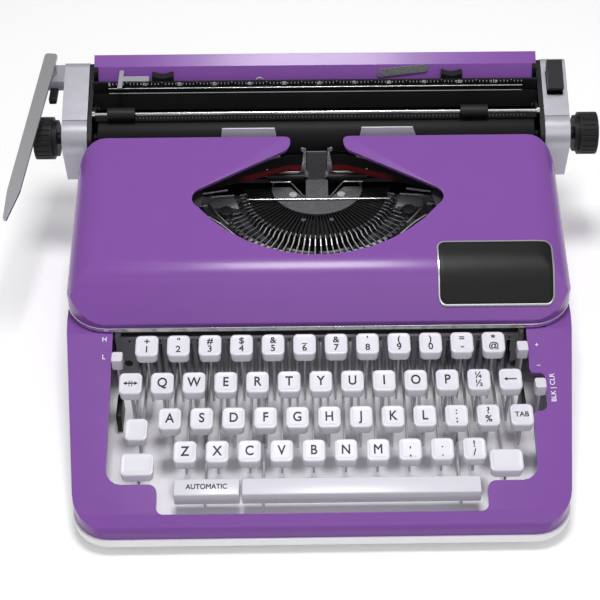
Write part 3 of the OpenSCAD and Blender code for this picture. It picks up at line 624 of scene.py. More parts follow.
# %% [markdown]
# ## Ribbon cover
# The cover is a pressed shell with an eye-shaped opening. Its wings beside the opening are folded down
# along a crease, which CAD leaves flat. The crease is cut into a copy with two bisects, and the wing is
# turned down about it. The corners of the rear notch are bevelled first.

# %% Ribbon cover
COVER_REAR_Y, COVER_REAR_Z = 94, 111.5
COVER_SLOPE = math.radians(10.83)
CREASE_REAR, CREASE_FRONT = (22, 94), (81, 49)
WING_REACH, WING_LENGTH, WING_DEPTH = 13 * MM, 90 * MM, 6 * MM
WING_TURN = math.radians(15)
NOTCH_HALF, NOTCH_ROUND = 17 * MM, 4.5 * MM
HAIR = 0.01 * MM


def on_cover(x, y):
    """A place on the cover's flat top panel."""
    return at(x, y, COVER_REAR_Z - (COVER_REAR_Y - y) * math.tan(COVER_SLOPE))


cover = node_copy("top_cover", "ribbon_cover")
mark(cover, lambda place, way: abs(way.z) > 0.95 and abs(abs(place.x - CENTRE.x) - NOTCH_HALF) < 0.3 * MM
     and abs(place.y - at(0, COVER_REAR_Y, 0).y) < 0.5 * MM, "EDGE")
bpy.ops.mesh.bevel(offset=NOTCH_ROUND, segments=6, affect="EDGES", clamp_overlap=True)
for side in (-1, 1):
    rear = on_cover(side * CREASE_REAR[0], CREASE_REAR[1])
    front = on_cover(side * CREASE_FRONT[0], CREASE_FRONT[1])
    crease = (rear - front).normalized()
    outward = crease.cross(Vector((0, 0, 1))).normalized() * side
    for point, across in ((rear, outward), (front, crease)):
        mark(cover, lambda place, way: abs(way.z) > 0.5)
        bpy.ops.mesh.bisect(plane_co=point, plane_no=across)
    mark(cover, lambda place, way: -WING_REACH < (place - rear).dot(outward) < -HAIR
         and HAIR < (place - front).dot(crease) < WING_LENGTH and place.z > front.z - WING_DEPTH, "VERT")
    turn_marked(-side * WING_TURN, crease, rear)
polish(cover, 0.5 * MM)
dress(cover, violet_enamel, "cover", "violet_paint", "top_cover")
print("cover faces:", len(cover.data.polygons))

# %% [markdown]
# ## Housing, pan, trim and end covers
# The housing and the paper table are pressed sheet steel in the same violet enamel, and the pan below
# them is pale. Copies with rounded edges are all they need. The bright trim stands a little proud of the
# cover, so its sides are pushed out. The outer rims of the cast end covers are rounder than their other
# edges.

# %% Housing, pan, trim and end covers
TRIM_PROUD = 0.9 * MM
END_OUT, END_ROUND = 166.5 * MM, 3.2 * MM
PLATEN_AXIS, BRACKET_AT = (115, 95), (148, 119)
PLATEN_CLEAR, BRACKET_CLEAR = 12 * MM, 11 * MM
housing = polish(node_copy("keyboard_housing", "keyboard_housing_shell"), 0.5 * MM)
dress(housing, shell_enamel, "root", "violet_paint", "keyboard_housing")
table = polish(node_copy("paper_table", "paper_table_shell"), 0.5 * MM, 12)
dress(table, violet_enamel, "carriage", "violet_paint", "paper_table")
dress(polish(node_copy("base_pan", "pan_shell"), 0.6 * MM), pale_enamel, "root", "pale_enamel", "base_pan")
trim = node_copy("cover_trim", "trim_strip")
mark(trim, lambda place, way: abs(way.z) < 0.3)
bpy.ops.transform.shrink_fatten(value=TRIM_PROUD)
polish(trim, 0.5 * MM, 50)
dress(trim, polished_plate, "cover", "bright_chrome", "cover_trim")


def on_outer_rim(place, way):
    """Tells whether an edge is on the outer rim of an end cover, clear of the platen and the bracket."""
    on_face = abs(abs(place.x - CENTRE.x) - END_OUT) < 0.05 * MM and abs(way.x) < 0.01
    return (on_face and (place - at(0, *PLATEN_AXIS)).yz.length > PLATEN_CLEAR
            and (place - at(0, *BRACKET_AT)).yz.length > BRACKET_CLEAR)


end_covers = node_copy("carriage_end_covers", "end_covers")
mark(end_covers, on_outer_rim, "EDGE")
bpy.ops.mesh.bevel(offset=END_ROUND, segments=4, affect="EDGES", clamp_overlap=True)
polish(end_covers, 0.5 * MM)
dress(end_covers, silver_lacquer, "carriage", "silver_paint", "carriage_end_covers")
print("end cover faces:", len(end_covers.data.polygons))

# %% [markdown]
# ## Key caps
# A cap is a moulded square with round corners, wider at the top than at the foot, whose dished top leans
# towards the typist. It starts as a cube: the foot is drawn in, the top is turned, the corners and the
# rim are bevelled and the dish is two insets. One cap is modelled for each width, and every key gets a
# copy.

# %% Key caps
CAP_W, CAP_D, CAP_H = 13.8 * MM, 14.4 * MM, 8 * MM
CAP_TILT = math.radians(12)
CAP_FOOT = 0.9
CAP_CORNER, CAP_RIM = 3 * MM, 0.9 * MM
DISH_RIM, DISH_SLOPE, DISH = 0.7 * MM, 1.1 * MM, 0.25 * MM


def key_cap(name, width):
    """A cap whose top centre is at the origin."""
    cap = block(name, Vector((-width / 2, -CAP_D / 2, -CAP_H)), Vector((width / 2, CAP_D / 2, 0)))
    mark(cap, lambda place, way: way.z < -0.9)
    drawn_in = (1 - (1 - CAP_FOOT) * CAP_W / width, CAP_FOOT, 1)
    bpy.ops.transform.resize(value=drawn_in, center_override=(0, 0, -CAP_H))
    mark(cap, lambda place, way: way.z > 0.9)
    turn_marked(CAP_TILT, Vector((1, 0, 0)), Vector((0, 0, 0)))
    mark(cap, lambda place, way: abs(way.z) > 0.7, "EDGE")
    bpy.ops.mesh.bevel(offset=CAP_CORNER, segments=6, affect="EDGES")
    mark(cap, lambda place, way: way.z > 0.9 and place.z > -CAP_H / 2)
    bpy.ops.mesh.region_to_loop()
    bpy.ops.mesh.bevel(offset=CAP_RIM, segments=3, affect="EDGES")
    mark(cap, lambda place, way: way.z > 0.95 and abs(place.x) < 0.1 * MM and abs(place.y) < MM)
    bpy.ops.mesh.inset(thickness=DISH_RIM)
    bpy.ops.mesh.inset(thickness=DISH_SLOPE, depth=-DISH)
    return polish(cap, angle=40)


letter_cap = key_cap("letter_cap", CAP_W)
print("a cap has", len(letter_cap.data.polygons), "faces")

# %% [markdown]
# Where the caps stand is read from the boxes of the CAD nodes. The number row and the punctuation keys
# are nodes of several keys, so their caps are counted along the row at its pitch.

# %% Places of the caps
REAR_RISE = CAP_D / 2 * math.tan(CAP_TILT)
NUMBER_KEYS = 12
AFTER = [("p", 1), ("l", 1), ("l", 2), ("m", 1), ("m", 2), ("m", 3)]


def cap_top(node):
    """The middle of a single key's top."""
    low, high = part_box(node)
    return Vector(((low.x + high.x) / 2, low.y + CAP_D / 2, high.z - REAR_RISE))


letters = [node[4:] for node in frame["nodes"] if node.startswith("key_")]
PITCH = cap_top("key_w").x - cap_top("key_q").x
tops = {"key_" + letter: [cap_top("key_" + letter)] for letter in letters}
for node in ("tab_key", "backspace_key", "margin_release_key"):
    tops[node] = [cap_top(node)]
number_low, number_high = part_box("number_row_keys")
number_step = (number_high.x - number_low.x - CAP_W) / (NUMBER_KEYS - 1)
first_number = Vector((number_low.x + CAP_W / 2, number_low.y + CAP_D / 2, number_high.z - REAR_RISE))
tops["number_row_keys"] = [first_number + Vector((i * number_step, 0, 0)) for i in range(NUMBER_KEYS)]
tops["punctuation_keys"] = [cap_top("key_" + letter) + Vector((count * PITCH, 0, 0))
                            for letter, count in AFTER]
print("caps in place:", sum(len(places) for places in tops.values()))

# %% [markdown]
# The caps and their levers are separate solids of one CAD node. The levers keep the CAD shape, so each
# key is a copy of the node without its caps, and the new caps stand on it.

# %% Keys
BESIDE_LEVER, CAP_REACH, CAP_BACK = 2 * MM, 12 * MM, 7.6 * MM


def levers_of(node, places):
    """The levers of a node, copied without the caps at these places."""
    def in_cap(point):
        """Tells whether a point is on one of the caps."""
        gaps = [point - top for top in places]
        return any(BESIDE_LEVER < abs(gap.x) < CAP_REACH and abs(gap.y) < CAP_BACK
                   and abs(gap.z) < CAP_H + MM for gap in gaps)
    return polish(without(node_copy(node, node + "_lever"), in_cap))


for node, places in tops.items():
    dress(levers_of(node, places), lever_steel, node, "bright_steel")
    caps = [copy_of(letter_cap, node + "_cap", top) for top in places]
    dress(join(node + "_cap", caps), key_plastic, node, "key_plastic", node)
drop(letter_cap)
print("keys dressed:", len(tops))

# %% [markdown]
# The two shift keys are wider, and the lock stands behind the left one. The space bar and the repeat bar
# are long blocks with a bright sloping top and a flat front.

# %% Shift keys and bars
SHIFT_W, LOCK_W = 19.7 * MM, 13.5 * MM
SHIFT_BELOW_ROW, LOCK_ABOVE_ROW, LOCK_BEHIND, LOCK_ASIDE = 2.5 * MM, 5 * MM, 20 * MM, 1.2 * MM
shift_low, shift_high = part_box("shift_keys")
row_top = cap_top("key_m").z
shift_y = shift_low.y + CAP_D / 2
shift_tops = [Vector((shift_low.x + SHIFT_W / 2, shift_y, row_top - SHIFT_BELOW_ROW)),
              Vector((shift_high.x - SHIFT_W / 2, shift_y, row_top - SHIFT_BELOW_ROW))]
lock_top = Vector((shift_tops[0].x - LOCK_ASIDE, shift_y + LOCK_BEHIND, row_top + LOCK_ABOVE_ROW))
dress(levers_of("shift_keys", shift_tops + [lock_top]), lever_steel, "shift_keys", "bright_steel")
shift_cap, lock_cap = key_cap("shift_cap", SHIFT_W), key_cap("lock_cap", LOCK_W)
caps = [copy_of(shift_cap, "shift_caps", top) for top in shift_tops]
caps.append(copy_of(lock_cap, "shift_lock", lock_top))
dress(join("shift_caps", caps), key_plastic, "shift_keys", "key_plastic", "shift_keys")
drop(shift_cap)
drop(lock_cap)

BAR_D, BAR_H, BAR_FALL = 10.5 * MM, 11 * MM, 1.6 * MM
for node in ("space_bar", "repeat_bar"):
    low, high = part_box(node)
    foot = Vector((low.x, low.y, high.z - BAR_H))
    bar = block(node + "_cap", foot, Vector((high.x, low.y + BAR_D, high.z)))
    mark(bar, lambda place, way: place.z > high.z - MM and place.y < low.y + MM, "VERT")
    bpy.ops.transform.translate(value=(0, 0, -BAR_FALL))
    soften(bar, 0.7 * MM, 3)
    arms = without(node_copy(node, node + "_arms"),
                   lambda point: point.z > foot.z - 0.1 * MM and point.y < low.y + 2 * MM)
    dress(polish(arms), lever_steel, node, "bright_steel")
    dress(bar, key_plastic, node, "key_plastic", node)
print("shift keys at", [round(top.x / MM) for top in shift_tops])

# %% [markdown]
# ## Legends
# The legends are printed letters and figures. Text is the natural start: it is set flat, given a hair of
# thickness, made a mesh, and laid on the leaning top of its cap. Arrows are drawn with a bar and a three-
# sided head.

# %% Letters on the caps
LETTER_SIZE, FIGURE_SIZE, WORD_SIZE, BAR_SIZE = 8.6 * MM, 6.0 * MM, 4.6 * MM, 4 * MM
LETTER_WIDTH = 0.86
INK = 0.05 * MM
STROKE = 0.018
TOP_UP = Vector((0, math.cos(CAP_TILT), math.sin(CAP_TILT)))
TOP_OUT = Vector((0, -math.sin(CAP_TILT), math.cos(CAP_TILT)))


def lettering(text, place, size, turn=(0, 0, 0), wide=1.0):
    """Flat letters as a mesh, centred on a place."""
    start_clean()
    bpy.ops.object.text_add(location=place, rotation=turn)
    words = bpy.context.object
    words.data.body = text
    words.data.size = size
    words.data.align_x, words.data.align_y = "CENTER", "CENTER"
    words.data.extrude = INK
    words.data.bevel_depth = size * STROKE
    words.data.bevel_resolution = 0
    words.scale.x = wide
    bpy.ops.object.convert(target="MESH")
    return settle(bpy.context.object)


def on_cap(top, up=0.0):
    """A place on the dished top of a cap, so many millimetres up from its middle."""
    return top + TOP_UP * up * MM - TOP_OUT * (DISH - INK)


def cap_text(text, top, up=0.0, size=LETTER_SIZE, wide=1.0):
    """Letters on the leaning top of a cap."""
    return lettering(text, on_cap(top, up), size, (CAP_TILT, 0, 0), wide)


def print_legend(name, marks, node):
    """Joins the marks on a node's caps and dresses them in ink."""
    dress(join(name, marks), legend_ink, node, "key_plastic")


for letter in letters:
    node = "key_" + letter
    ink = cap_text(letter.upper(), tops[node][0], 0, LETTER_SIZE, LETTER_WIDTH)
    print_legend("legend_" + letter, [ink], node)
print("legends for", len(letters), "letters")

# %% [markdown]
# Figures and signs stand one above the other. The other keys have a word or arrows, and the repeat bar
# has its word along its sloping top.

# %% Figures, signs and words
UPPER, LOWER = 2.7, -2.7
ARROW_HALF, ARROW_HEAD = 0.35, 1.4
BAR_ASIDE = Vector((0.8 * MM, 0, 0))


def pairs_of(places, signs):
    """Marks on caps that have an upper and a lower sign."""
    marks = []
    for top, (upper, lower) in zip(places, signs):
        marks.append(cap_text(upper, top, UPPER, FIGURE_SIZE))
        marks.append(cap_text(lower, top, LOWER, FIGURE_SIZE))
    return marks


def arrow(top, tail, tip):
    """An arrow along a cap's top, from tail to tip in millimetres across it."""
    way = 1 if tip > tail else -1
    shaft = block("shaft", Vector((min(tail, tip), -ARROW_HALF, -0.05)) * MM,
                  Vector((max(tail, tip), ARROW_HALF, 0.05)) * MM)
    start_clean()
    bpy.ops.mesh.primitive_cylinder_add(vertices=3, radius=ARROW_HEAD * MM, depth=2 * INK,
                                        location=(tip * MM, 0, 0), rotation=(0, 0, -way * math.pi / 2))
    whole = join("arrow", [shaft, added("head")])
    whole.rotation_euler = (CAP_TILT, 0, 0)
    whole.location = on_cap(top)
    return settle(whole)


figures = zip('+"#$&_&\'()=*', "1234567890-@")
print_legend("number_legends", pairs_of(tops["number_row_keys"], figures), "number_row_keys")
signs = ("¼½", ":;", "?%", ",,", "..", "!/")
print_legend("punctuation_legends", pairs_of(tops["punctuation_keys"], signs), "punctuation_keys")
print_legend("tab_legend", [cap_text("TAB", tops["tab_key"][0], 0, WORD_SIZE)], "tab_key")
print_legend("back_legend", [arrow(tops["backspace_key"][0], 3.6, -2.6)], "backspace_key")
margin_top = tops["margin_release_key"][0]
margin = [arrow(margin_top, 0, -3), arrow(margin_top, 0, 3)]
margin += [cap_text("|", top, 0, BAR_SIZE) for top in (margin_top - BAR_ASIDE, margin_top + BAR_ASIDE)]
print_legend("margin_legend", margin, "margin_release_key")
repeat_low, repeat_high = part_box("repeat_bar")
repeat_top = Vector(((repeat_low.x + repeat_high.x) / 2, repeat_low.y + BAR_D / 2,
                     repeat_high.z - BAR_FALL / 2 + INK))
bar_lean = (math.atan2(BAR_FALL, BAR_D), 0, 0)
print_legend("repeat_legend", [lettering("AUTOMATIC", repeat_top, WORD_SIZE, bar_lean, 0.9)], "repeat_bar")
print("signs on", len(tops["number_row_keys"]), "number keys and", len(signs), "others")

# %% [markdown]
# ## Levers beside the keys and their labels
# Small moulded tabs stand in the slots beside the number row: touch on the left, impression and ribbon
# colour on the right. Their plain labels are printed in white on the sloping sides of the housing.

# %% Small levers and labels
TAB_H = 12 * MM
TAB_TRIM = (0.82, 0.85, 0.72)
LABEL_SIZE = 4.2 * MM
STRIP_SLOPE = math.radians(19.107)
STRIP_FRONT_Y, STRIP_FRONT_Z = -140.2, 24.5
LABELS = [("H", -130.8, -36, 0), ("L", -130.8, -47, 0), ("+", 131.6, -42.5, 0), ("–", 131.6, -54.9, 0),
          ("BLK | CLR", 139.2, -68.8, math.pi / 2)]
for node in ("touch_lever", "impression_lever", "ribbon_selector"):
    tab = node_copy(node, node + "_tab")
    low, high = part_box(node)
    mark(tab, lambda place, way: place.z > high.z - TAB_H, "VERT")
    top = Vector(((low.x + high.x) / 2, high.y, high.z))
    bpy.ops.transform.resize(value=TAB_TRIM, center_override=top)
    dress(polish(tab, 0.9 * MM), key_plastic, node, "key_plastic", node)


def on_strip(x, y):
    """A place on the sloping sides of the key well."""
    rise = (y - STRIP_FRONT_Y) * math.tan(STRIP_SLOPE)
    return at(x, y, STRIP_FRONT_Z + rise) + Vector((0, 0, INK))


printed = []
for text, x, y, turn in LABELS:
    words = lettering(text, Vector((0, 0, 0)), LABEL_SIZE, (0, 0, turn))
    words.rotation_euler = (STRIP_SLOPE, 0, 0)
    words.location = on_strip(x, y)
    printed.append(settle(words))
dress(join("lever_labels", printed), white_mark, "root", "pale_enamel")
print("labels:", len(LABELS))

# %% [markdown]
# ## Badge
# The badge is a bare black enamelled plate in a bright border, bent over the knee of the cover. It starts
# as a plane with round corners, is cut into strips so that it can bend, is wrapped onto the cover and
# gets its thickness.

# %% Badge
BADGE_X, BADGE_Y = (72, 143), (-25.5, 10.5)
BADGE_CORNER = 5
ABOVE_COVER = 120
STRIPS = 24


def plate_on_cover(name, inset, rise, thickness):
    """A round-cornered plate that follows the cover."""
    low = at(BADGE_X[0] + inset, BADGE_Y[0] + inset, ABOVE_COVER)
    high = at(BADGE_X[1] - inset, BADGE_Y[1] - inset, ABOVE_COVER)
    start_clean()
    bpy.ops.mesh.primitive_plane_add(size=1, location=(low + high) / 2)
    bpy.context.object.scale = (high.x - low.x, high.y - low.y, 1)
    plate = added(name)
    mark(plate, lambda place, way: True, "VERT")
    bpy.ops.mesh.bevel(offset=(BADGE_CORNER - inset) * MM, segments=6, affect="VERTICES")
    for i in range(1, STRIPS):
        for across in ((1, 0, 0), (0, 1, 0)):
            bpy.ops.mesh.select_all(action="SELECT")
            bpy.ops.mesh.bisect(plane_co=low.lerp(high, i / STRIPS), plane_no=across)
    apply_modifier(plate, "SHRINKWRAP", target=cover, wrap_method="PROJECT", use_project_z=True,
                   use_negative_direction=True, use_positive_direction=False,
                   wrap_mode="ABOVE_SURFACE", offset=rise)
    apply_modifier(plate, "SOLIDIFY", thickness=thickness, offset=-1)
    return soften(plate, 0.25 * MM)


border = plate_on_cover("badge_border", inset=0, rise=0.9 * MM, thickness=1.0 * MM)
dress(border, polished_plate, "cover", "bright_chrome")
plate = plate_on_cover("badge_plate", inset=1.0, rise=1.1 * MM, thickness=0.6 * MM)
dress(plate, black_enamel, "cover", "black_paint")
print("badge", BADGE_X[1] - BADGE_X[0], "mm wide, left bare")

# %% [markdown]
# ## Comb and frame
# The comb that guides the key levers is a lighter sheet than the frame behind it, with a lip along its
# top and a row of small holes. A black strip of painted shade covers it above the lip, and its holes are
# black discs of painted shade. Comb and frame are one CAD node, so a copy is cut in two just behind the
# comb.

# %% Comb and frame
COMB_Y, COMB_TOP, COMB_HALF, LIP_Z = -27.95, 60, 122, 56
COMB_BACK = 1.8
SLOT_STEP, SIDE_SLOTS, HOLE_Z = 4.6875, 25, 50
BIG_HOLES = ((-119.4, 30), (122.5, 26))
BACKWARD, FORWARD = Vector((0, 1, 0)), Vector((0, -1, 0))
behind_comb = at(0, COMB_Y + COMB_BACK, 0)
comb = slice_of(node_copy("chassis_frame", "comb"), (behind_comb, BACKWARD))
inner_frame = slice_of(node_copy("chassis_frame", "inner_frame"), (behind_comb, FORWARD))
dress(polish(comb, 0.2 * MM), comb_steel, "root", "grey_steel")
dress(polish(inner_frame, 0.2 * MM), grey_steel, "root", "grey_steel", "chassis_frame")
lip = block("comb_lip", at(-COMB_HALF, COMB_Y - 2, LIP_Z - 2), at(COMB_HALF, COMB_Y, LIP_Z))
dress(soften(lip, 0.4 * MM), satin_steel, "root", "grey_steel")
# Painted shade: a black strip over the comb's top band, above the lip.
shade = block("comb_shade", at(-COMB_HALF, COMB_Y - 0.3, LIP_Z), at(COMB_HALF, COMB_Y, COMB_TOP))
dress(shade, black_enamel, "root", "black_paint")


def disc(place, radius, depth, sides):
    """A short round disc whose face looks forward, standing in for the shade inside a hole."""
    return rod("hole_shade", place, place + FORWARD * depth, radius, sides)


# Painted shade: the comb's holes are thin black discs on its face.
holes = [disc(at(k * SLOT_STEP, COMB_Y, HOLE_Z), 0.8 * MM, 0.12 * MM, 8)
         for k in range(-SIDE_SLOTS, SIDE_SLOTS + 1)]
holes += [disc(at(x, COMB_Y, z), 2.6 * MM, 0.15 * MM, 20) for x, z in BIG_HOLES]
dress(join("comb_holes", holes), black_enamel, "root", "grey_steel")

brackets = [block("bracket", at(-125.2, -66, 9), at(-122, -48, 24)),
            block("bracket", at(123.2, -66, 9), at(125.2, -50, 32))]
dress(soften(join("well_brackets", brackets), 0.5 * MM), black_casting, "root", "black_paint")
print("comb with", len(holes), "holes")

# %% [markdown]
# ## Type guide
# The type basket is the hardest place of the machine to read: forty-four bars in a slotted half ring, lit
# only at their bends. In its middle stands the type guide. It is one CAD node, so copies of it are cut
# into the speckled centre plate, the bright hooks and the two silver card holders.

# %% Type guide
PLATE_TOP, CARD_Y, POST_Y = 73.5, 96.8, 95.6
SAW = 0.05
PLATE_STRETCH = (1.13, 1, 1)
UP, DOWN = Vector((0, 0, 1)), Vector((0, 0, -1))
hook_plane = at(0, 0, PLATE_TOP + 1)
before_post = (at(0, POST_Y - SAW, 0), BACKWARD)


def guide_part(name, material, slot, width, *cuts):
    """One part of the type guide, cut from a copy."""
    return dress(polish(slice_of(node_copy("type_guide", name), *cuts), width), material, "root", slot)


guide_part("guide_post", speckled_plate, "grey_steel", 0.15 * MM, (at(0, CARD_Y - SAW, 0), BACKWARD),
           (at(0, POST_Y + SAW, 0), FORWARD))
guide_part("ribbon_hooks", bright_steel, "bright_steel", 0.2 * MM, before_post, (hook_plane, DOWN))
plate = guide_part("guide_plate", speckled_plate, "grey_steel", 0.2 * MM, before_post, (hook_plane, UP))
stretch(plate, PLATE_STRETCH, at(0, 0, 0))
cards = guide_part("card_holders", card_silver, "bright_steel", 0.2 * MM,
                   (at(0, CARD_Y + SAW, 0), FORWARD))
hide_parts("type_guide")
print("type guide in four parts")

# %% [markdown]
# ## Wires of the basket
# A bright rim runs round the centre plate, and thin wires and links lie beside it. A bent wire could be a
# curve with a bevel. Here it is spun from a circle, or made of straight rods, so that it is a mesh from
# the start.

# %% Wires of the basket
RIM_RADIUS, RIM_THICK = 25.6 * MM, 0.6 * MM


def basket_arc(name, radius, z, thick, sweep, sides=40):
    """A thin round wire bent about the basket's centre, open to the rear."""
    centre = at(0, BASKET_Y, z)
    start_clean()
    bpy.ops.mesh.primitive_circle_add(vertices=8, radius=thick, location=centre + Vector((-radius, 0, 0)),
                                      rotation=(math.pi / 2, 0, 0))
    arc = added(name)
    bpy.ops.object.mode_set(mode="EDIT")
    bpy.ops.mesh.select_all(action="SELECT")
    bpy.ops.mesh.spin(steps=sides, angle=sweep, center=centre, axis=(0, 0, 1))
    bpy.ops.mesh.select_all(action="SELECT")
    bpy.ops.mesh.remove_doubles(threshold=0.01 * MM)
    bpy.ops.mesh.normals_make_consistent(inside=False)
    return smooth(pick(arc), 60)


def bent_wire(name, places, radius):
    """A wire through several places, made of straight lengths."""
    lengths = [rod(name, start, end, radius, 8) for start, end in zip(places, places[1:])]
    return smooth(join(name, lengths))


def both_sides(name, places, radius):
    """A bent wire and its mirror image on the other side of the machine."""
    sides = [[at(side * x, y, z) for x, y, z in places] for side in (-1, 1)]
    return join(name, [bent_wire(name, route, radius) for route in sides])


rim = basket_arc("plate_rim", RIM_RADIUS, PLATE_TOP + 0.1, RIM_THICK, math.pi)
dress(stretch(rim, PLATE_STRETCH, at(0, 0, 0)), bright_steel, "root", "bright_steel")
wires = [bent_wire("basket_wire", [at(-46, 74.6, 74.6), at(48, 74.6, 74.6)], 0.45 * MM),
         both_sides("bracket_edge", [(30.6, 89.6, 76.5), (17.5, 89.6, 76.5), (7.6, 75, 75)], 0.5 * MM),
         both_sides("feed_wire", [(32, 92, 85.4), (48, 92, 85.4)], 0.5 * MM),
         both_sides("feed_bar", [(58.5, 78.2, 80), (74.5, 75, 80)], 0.9 * MM),
         both_sides("feed_bar", [(54, 74, 79), (69, 72.5, 79)], 0.7 * MM),
         both_sides("feed_link", [(79, 63, 79), (70.7, 64.8, 79), (63.4, 55.3, 78), (57.6, 48.6, 77)],
                    0.9 * MM),
         both_sides("feed_link", [(69.8, 53.3, 79), (62, 47.5, 78), (52.5, 38.2, 76.5)], 0.8 * MM)]
dress(join("basket_wires", wires), bright_steel, "root", "bright_steel")
print("wires:", len(wires))

# %% [markdown]
# ## Ribbon feed and screws
# Fan-shaped plates with black hubs carry the ribbon feed at both sides of the basket, and black rolls
# lead the ribbon to the hooks. The screws have a slot cut into their heads, which a boolean does most
# simply.

# %% Ribbon feed and screws
FAN_IN, FAN_OUT, FAN_FRONT, FAN_REAR, FAN_LOW, FAN_TOP = 51, 71, 66, 78, 74.6, 75.4
FAN_NARROW = (0.55, 1, 1)
HEAD_H, SLOT_HALF, SLOT_FOOT, SLOT_TOP = 1.1 * MM, 0.25 * MM, 0.8 * MM, 1.6 * MM
fans, hubs = [], []
for side in (-1, 1):
    inner, outer = sorted((side * FAN_IN, side * FAN_OUT))
    fan = block("fan", at(inner, FAN_FRONT, FAN_LOW), at(outer, FAN_REAR, FAN_TOP))
    mark(fan, lambda place, way: place.y > at(0, 70, 0).y, "VERT")
    bpy.ops.transform.resize(value=FAN_NARROW, center_override=at((inner + outer) / 2, FAN_REAR, 75))
    fans.append(pick(fan))
    hubs.append(rod("hub", at(side * 59, 59, 74.5), at(side * 59, 59, 79.5), 4.4 * MM, 24))
dress(soften(join("feed_fans", fans), 0.2 * MM), comb_steel, "root", "grey_steel")
dress(soften(join("feed_hubs", hubs), 0.4 * MM), black_plastic, "root", "black_plastic")


def screw(name, place, radius):
    """A cheese-headed screw: a disc with a slot cut into its top."""
    head = rod(name, place, place + UP * HEAD_H, radius, 16)
    slot = block("slot", place + Vector((-radius, -SLOT_HALF, SLOT_FOOT)),
                 place + Vector((radius, SLOT_HALF, SLOT_TOP)))
    apply_modifier(head, "BOOLEAN", object=slot, operation="DIFFERENCE")
    drop(slot)
    return smooth(head, 30)


screws = [screw("screw", at(x, 79.4, PLATE_TOP), 2.6 * MM) for x in (-15.8, 15.8)]
dress(join("basket_screws", screws), screw_steel, "root", "bright_steel")
screws = [screw("screw", at(x, 56.6, 71.8), 1.5 * MM) for x in (-9.2, 9.2)]
dress(join("segment_screws", screws), grey_steel, "root", "grey_steel")
rolls = [rod("roll", at(side * 8, 92.6, 78.4), at(side * 33, 92.6, 78.4), 2.3 * MM, 16) for side in (-1, 1)]
dress(smooth(join("ribbon_rolls", rolls)), black_plastic, "root", "black_plastic")
print("ribbon feed with", len(hubs), "hubs")

# %% [markdown]
# ## Carriage
# The black frame carries the rubber platen, the paper bail with its two rollers, the scale and the margin
# stops. The platen and the bail are nodes of several solids with different finishes, so each finish takes
# its own solids. The bail is a rod with a bright edge on top, so a copy is cut along it.

# %% Platen and paper bail
ROLLER_END, SHAFT_REACH = 144 * MM, 10 * MM
BAIL_ROLLERS, BAIL_ROLLER_HALF, BAIL_END = (-127, 103), 9.1 * MM, 143 * MM
BAIL_Y, BAIL_Z = 113, 116
BAIL_NARROW = (1, 0.6, 1)
platen_low, platen_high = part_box("platen")
platen_middle = (platen_low + platen_high) / 2
bail_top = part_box("paper_bail")[1].z


def off_middle(point):
    """The distance of a point from the machine's centre plane."""
    return abs(point.x - CENTRE.x)


def in_bail_roller(point):
    """Tells whether a point is on the skin of a bail roller."""
    near = min(abs(point.x - at(x, 0, 0).x) for x in BAIL_ROLLERS)
    return near < BAIL_ROLLER_HALF and point.z > bail_top - 1.5 * MM


knobs = without(node_copy("platen", "platen_knobs"), lambda point: off_middle(point) < ROLLER_END
                and math.hypot(*(point - platen_middle).yz) > SHAFT_REACH)
dress(polish(knobs, 0.3 * MM), black_plastic, "platen", "black_plastic")
roller = without(node_copy("platen", "platen_roller"), lambda point: off_middle(point) > ROLLER_END)
dress(polish(roller, 0.8 * MM), ground_rubber, "platen", "platen_rubber", "platen")

rollers = without(node_copy("paper_bail", "bail_rollers"), lambda point: off_middle(point) > BAIL_END)
dress(polish(rollers, 0.5 * MM), black_plastic, "paper_bail", "black_plastic")
bail_cut = at(0, BAIL_Y, BAIL_Z - 0.2)
bright_edge = slice_of(without(node_copy("paper_bail", "bail_edge"), in_bail_roller), (bail_cut, DOWN))
stretch(bright_edge, BAIL_NARROW, at(0, BAIL_Y - 0.5, BAIL_Z))
dress(polish(bright_edge), polished_plate, "paper_bail", "bright_chrome")
bail_rod = slice_of(without(node_copy("paper_bail", "bail_rod"), in_bail_roller), (bail_cut, UP))
dress(polish(bail_rod), black_enamel, "paper_bail", "black_paint", "paper_bail")
print("platen", round((platen_high.x - platen_low.x) / MM), "mm over the knobs")

# %% [markdown]
# ## Scales
# The scale bar carries a white tick for every letter space and a number at every tenth. One tick is
# modelled and an array lays out the row. The bail has a fainter row of the same pitch.

# %% Scales
LETTER_SPACE = 2.307
SPACES = 118
SCALE_FACE_Y, SCALE_Z = 135.5, 122.6
TICK_HALF, TICK_PROUD, TICK_SUNK = 0.22, 0.06, 0.02
NUMBER_SIZE = 3.0 * MM
scale_start = -LETTER_SPACE * SPACES / 2


def tick_row(name, low, high, count, pitch):
    """A row of equal ticks along the carriage."""
    tick = block(name, low, high)
    return apply_modifier(tick, "ARRAY", count=count, use_relative_offset=False, use_constant_offset=True,
                          constant_offset_displace=(pitch * MM, 0, 0))


def scale_ticks(every, height):
    """Ticks on the scale bar's face, one at every so many letter spaces."""
    low = at(scale_start - TICK_HALF, SCALE_FACE_Y - TICK_PROUD, SCALE_Z)
    high = at(scale_start + TICK_HALF, SCALE_FACE_Y + TICK_SUNK, SCALE_Z + height)
    return tick_row("scale_ticks", low, high, SPACES // every + 1, LETTER_SPACE * every)


marks = [scale_ticks(1, 1.3), scale_ticks(5, 2.0)]
for count in range(0, SPACES + 1, 10):
    place = at(scale_start + count * LETTER_SPACE, SCALE_FACE_Y - 0.05, SCALE_Z + 0.2)
    marks.append(lettering(str(count), place, NUMBER_SIZE, (math.pi / 2, 0, 0)))
dress(join("scale_marks", marks), white_mark, "carriage", "pale_enamel")

faint = tick_row("bail_ticks", at(scale_start, BAIL_Y - 2.4, BAIL_Z - 2.2),
                 at(scale_start + 0.3, BAIL_Y - 1.8, BAIL_Z - 1.3), SPACES + 1, LETTER_SPACE)
dress(faint, comb_steel, "paper_bail", "grey_steel")
print("scale with", SPACES, "letter spaces")

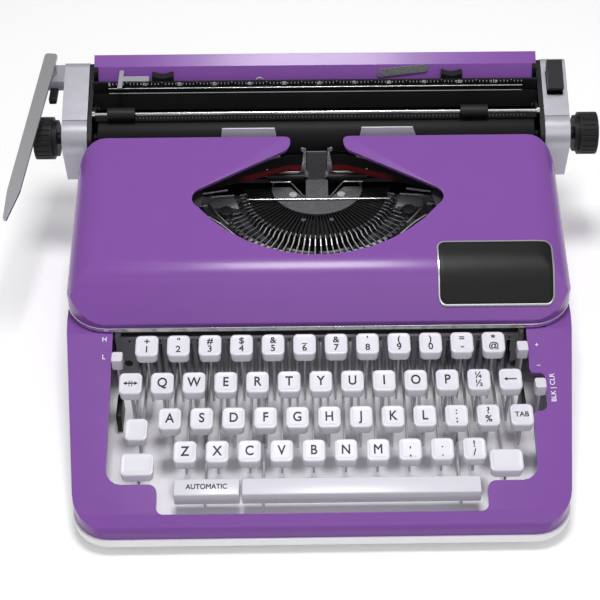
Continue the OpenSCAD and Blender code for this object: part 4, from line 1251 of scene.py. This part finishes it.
# %% [markdown]
# ## Small parts of the carriage
# Guide wires below the scale, a half ring on it, black stops at the ends of the paper table and the dark
# link of the return lever. They are simple blocks and rods with softened edges, and half of a torus.

# %% Small parts of the carriage
LINE_HALF, LINE_RADIUS = 137, 0.35 * MM
RING_Z = 124.4
STOP_X, STOP_HALF = 145.7, 1.3
foot_line = rod("scale_line", at(-LINE_HALF, 135.3, 119.8), at(LINE_HALF, 135.3, 119.8), LINE_RADIUS, 8)
dress(smooth(foot_line), bright_steel, "carriage", "bright_steel")
guide_line = rod("guide_line", at(-LINE_HALF, 135.2, 115.9), at(LINE_HALF, 135.2, 115.9), LINE_RADIUS, 8)
dress(smooth(guide_line), comb_steel, "carriage", "grey_steel")

start_clean()
bpy.ops.mesh.primitive_torus_add(location=at(-37, 136.3, RING_Z), rotation=(math.pi / 2, 0, 0),
                                 major_radius=2.6 * MM, minor_radius=0.5 * MM,
                                 major_segments=28, minor_segments=8)
ring = slice_of(added("scale_ring"), (at(0, 0, RING_Z), DOWN))
dress(smooth(ring), polished_plate, "carriage", "bright_chrome")

stops = [block("table_stop", at(STOP_X * side - STOP_HALF, 144.5, 118),
               at(STOP_X * side + STOP_HALF, 150.5, 127)) for side in (-1, 1)]
dress(soften(join("table_stops", stops), 0.6 * MM), black_plastic, "carriage", "black_plastic")
link = block("return_link", at(-176, 127, 113.6), at(-171, 146, 118.2))
dress(soften(link, 0.8 * MM), black_enamel, "carriage", "black_paint")
print("small parts of the carriage are on")

# %% [markdown]
# ## Nodes that keep their CAD shape
# Flat levers, rods and castings already look right. They get a finish and nothing else.

# %% Finishes of the CAD nodes
NODE_FINISH = {
    "rubber_feet": foot_rubber, "type_segment": black_casting, "typebars": typebar_steel,
    "ribbon": inked_cloth, "left_spool": grey_steel, "right_spool": grey_steel,
    "carriage_frame": black_enamel, "paper_guide": silver_lacquer, "paper_support_arm": speckled_plate,
    "return_lever": satin_steel, "paper_release_lever": black_plastic,
    "left_margin_stop": black_plastic, "right_margin_stop": black_plastic}
for node, material in NODE_FINISH.items():
    for slot in frame["nodes"][node].material_slots:
        slot.material = material
print("plain nodes:", len(NODE_FINISH))
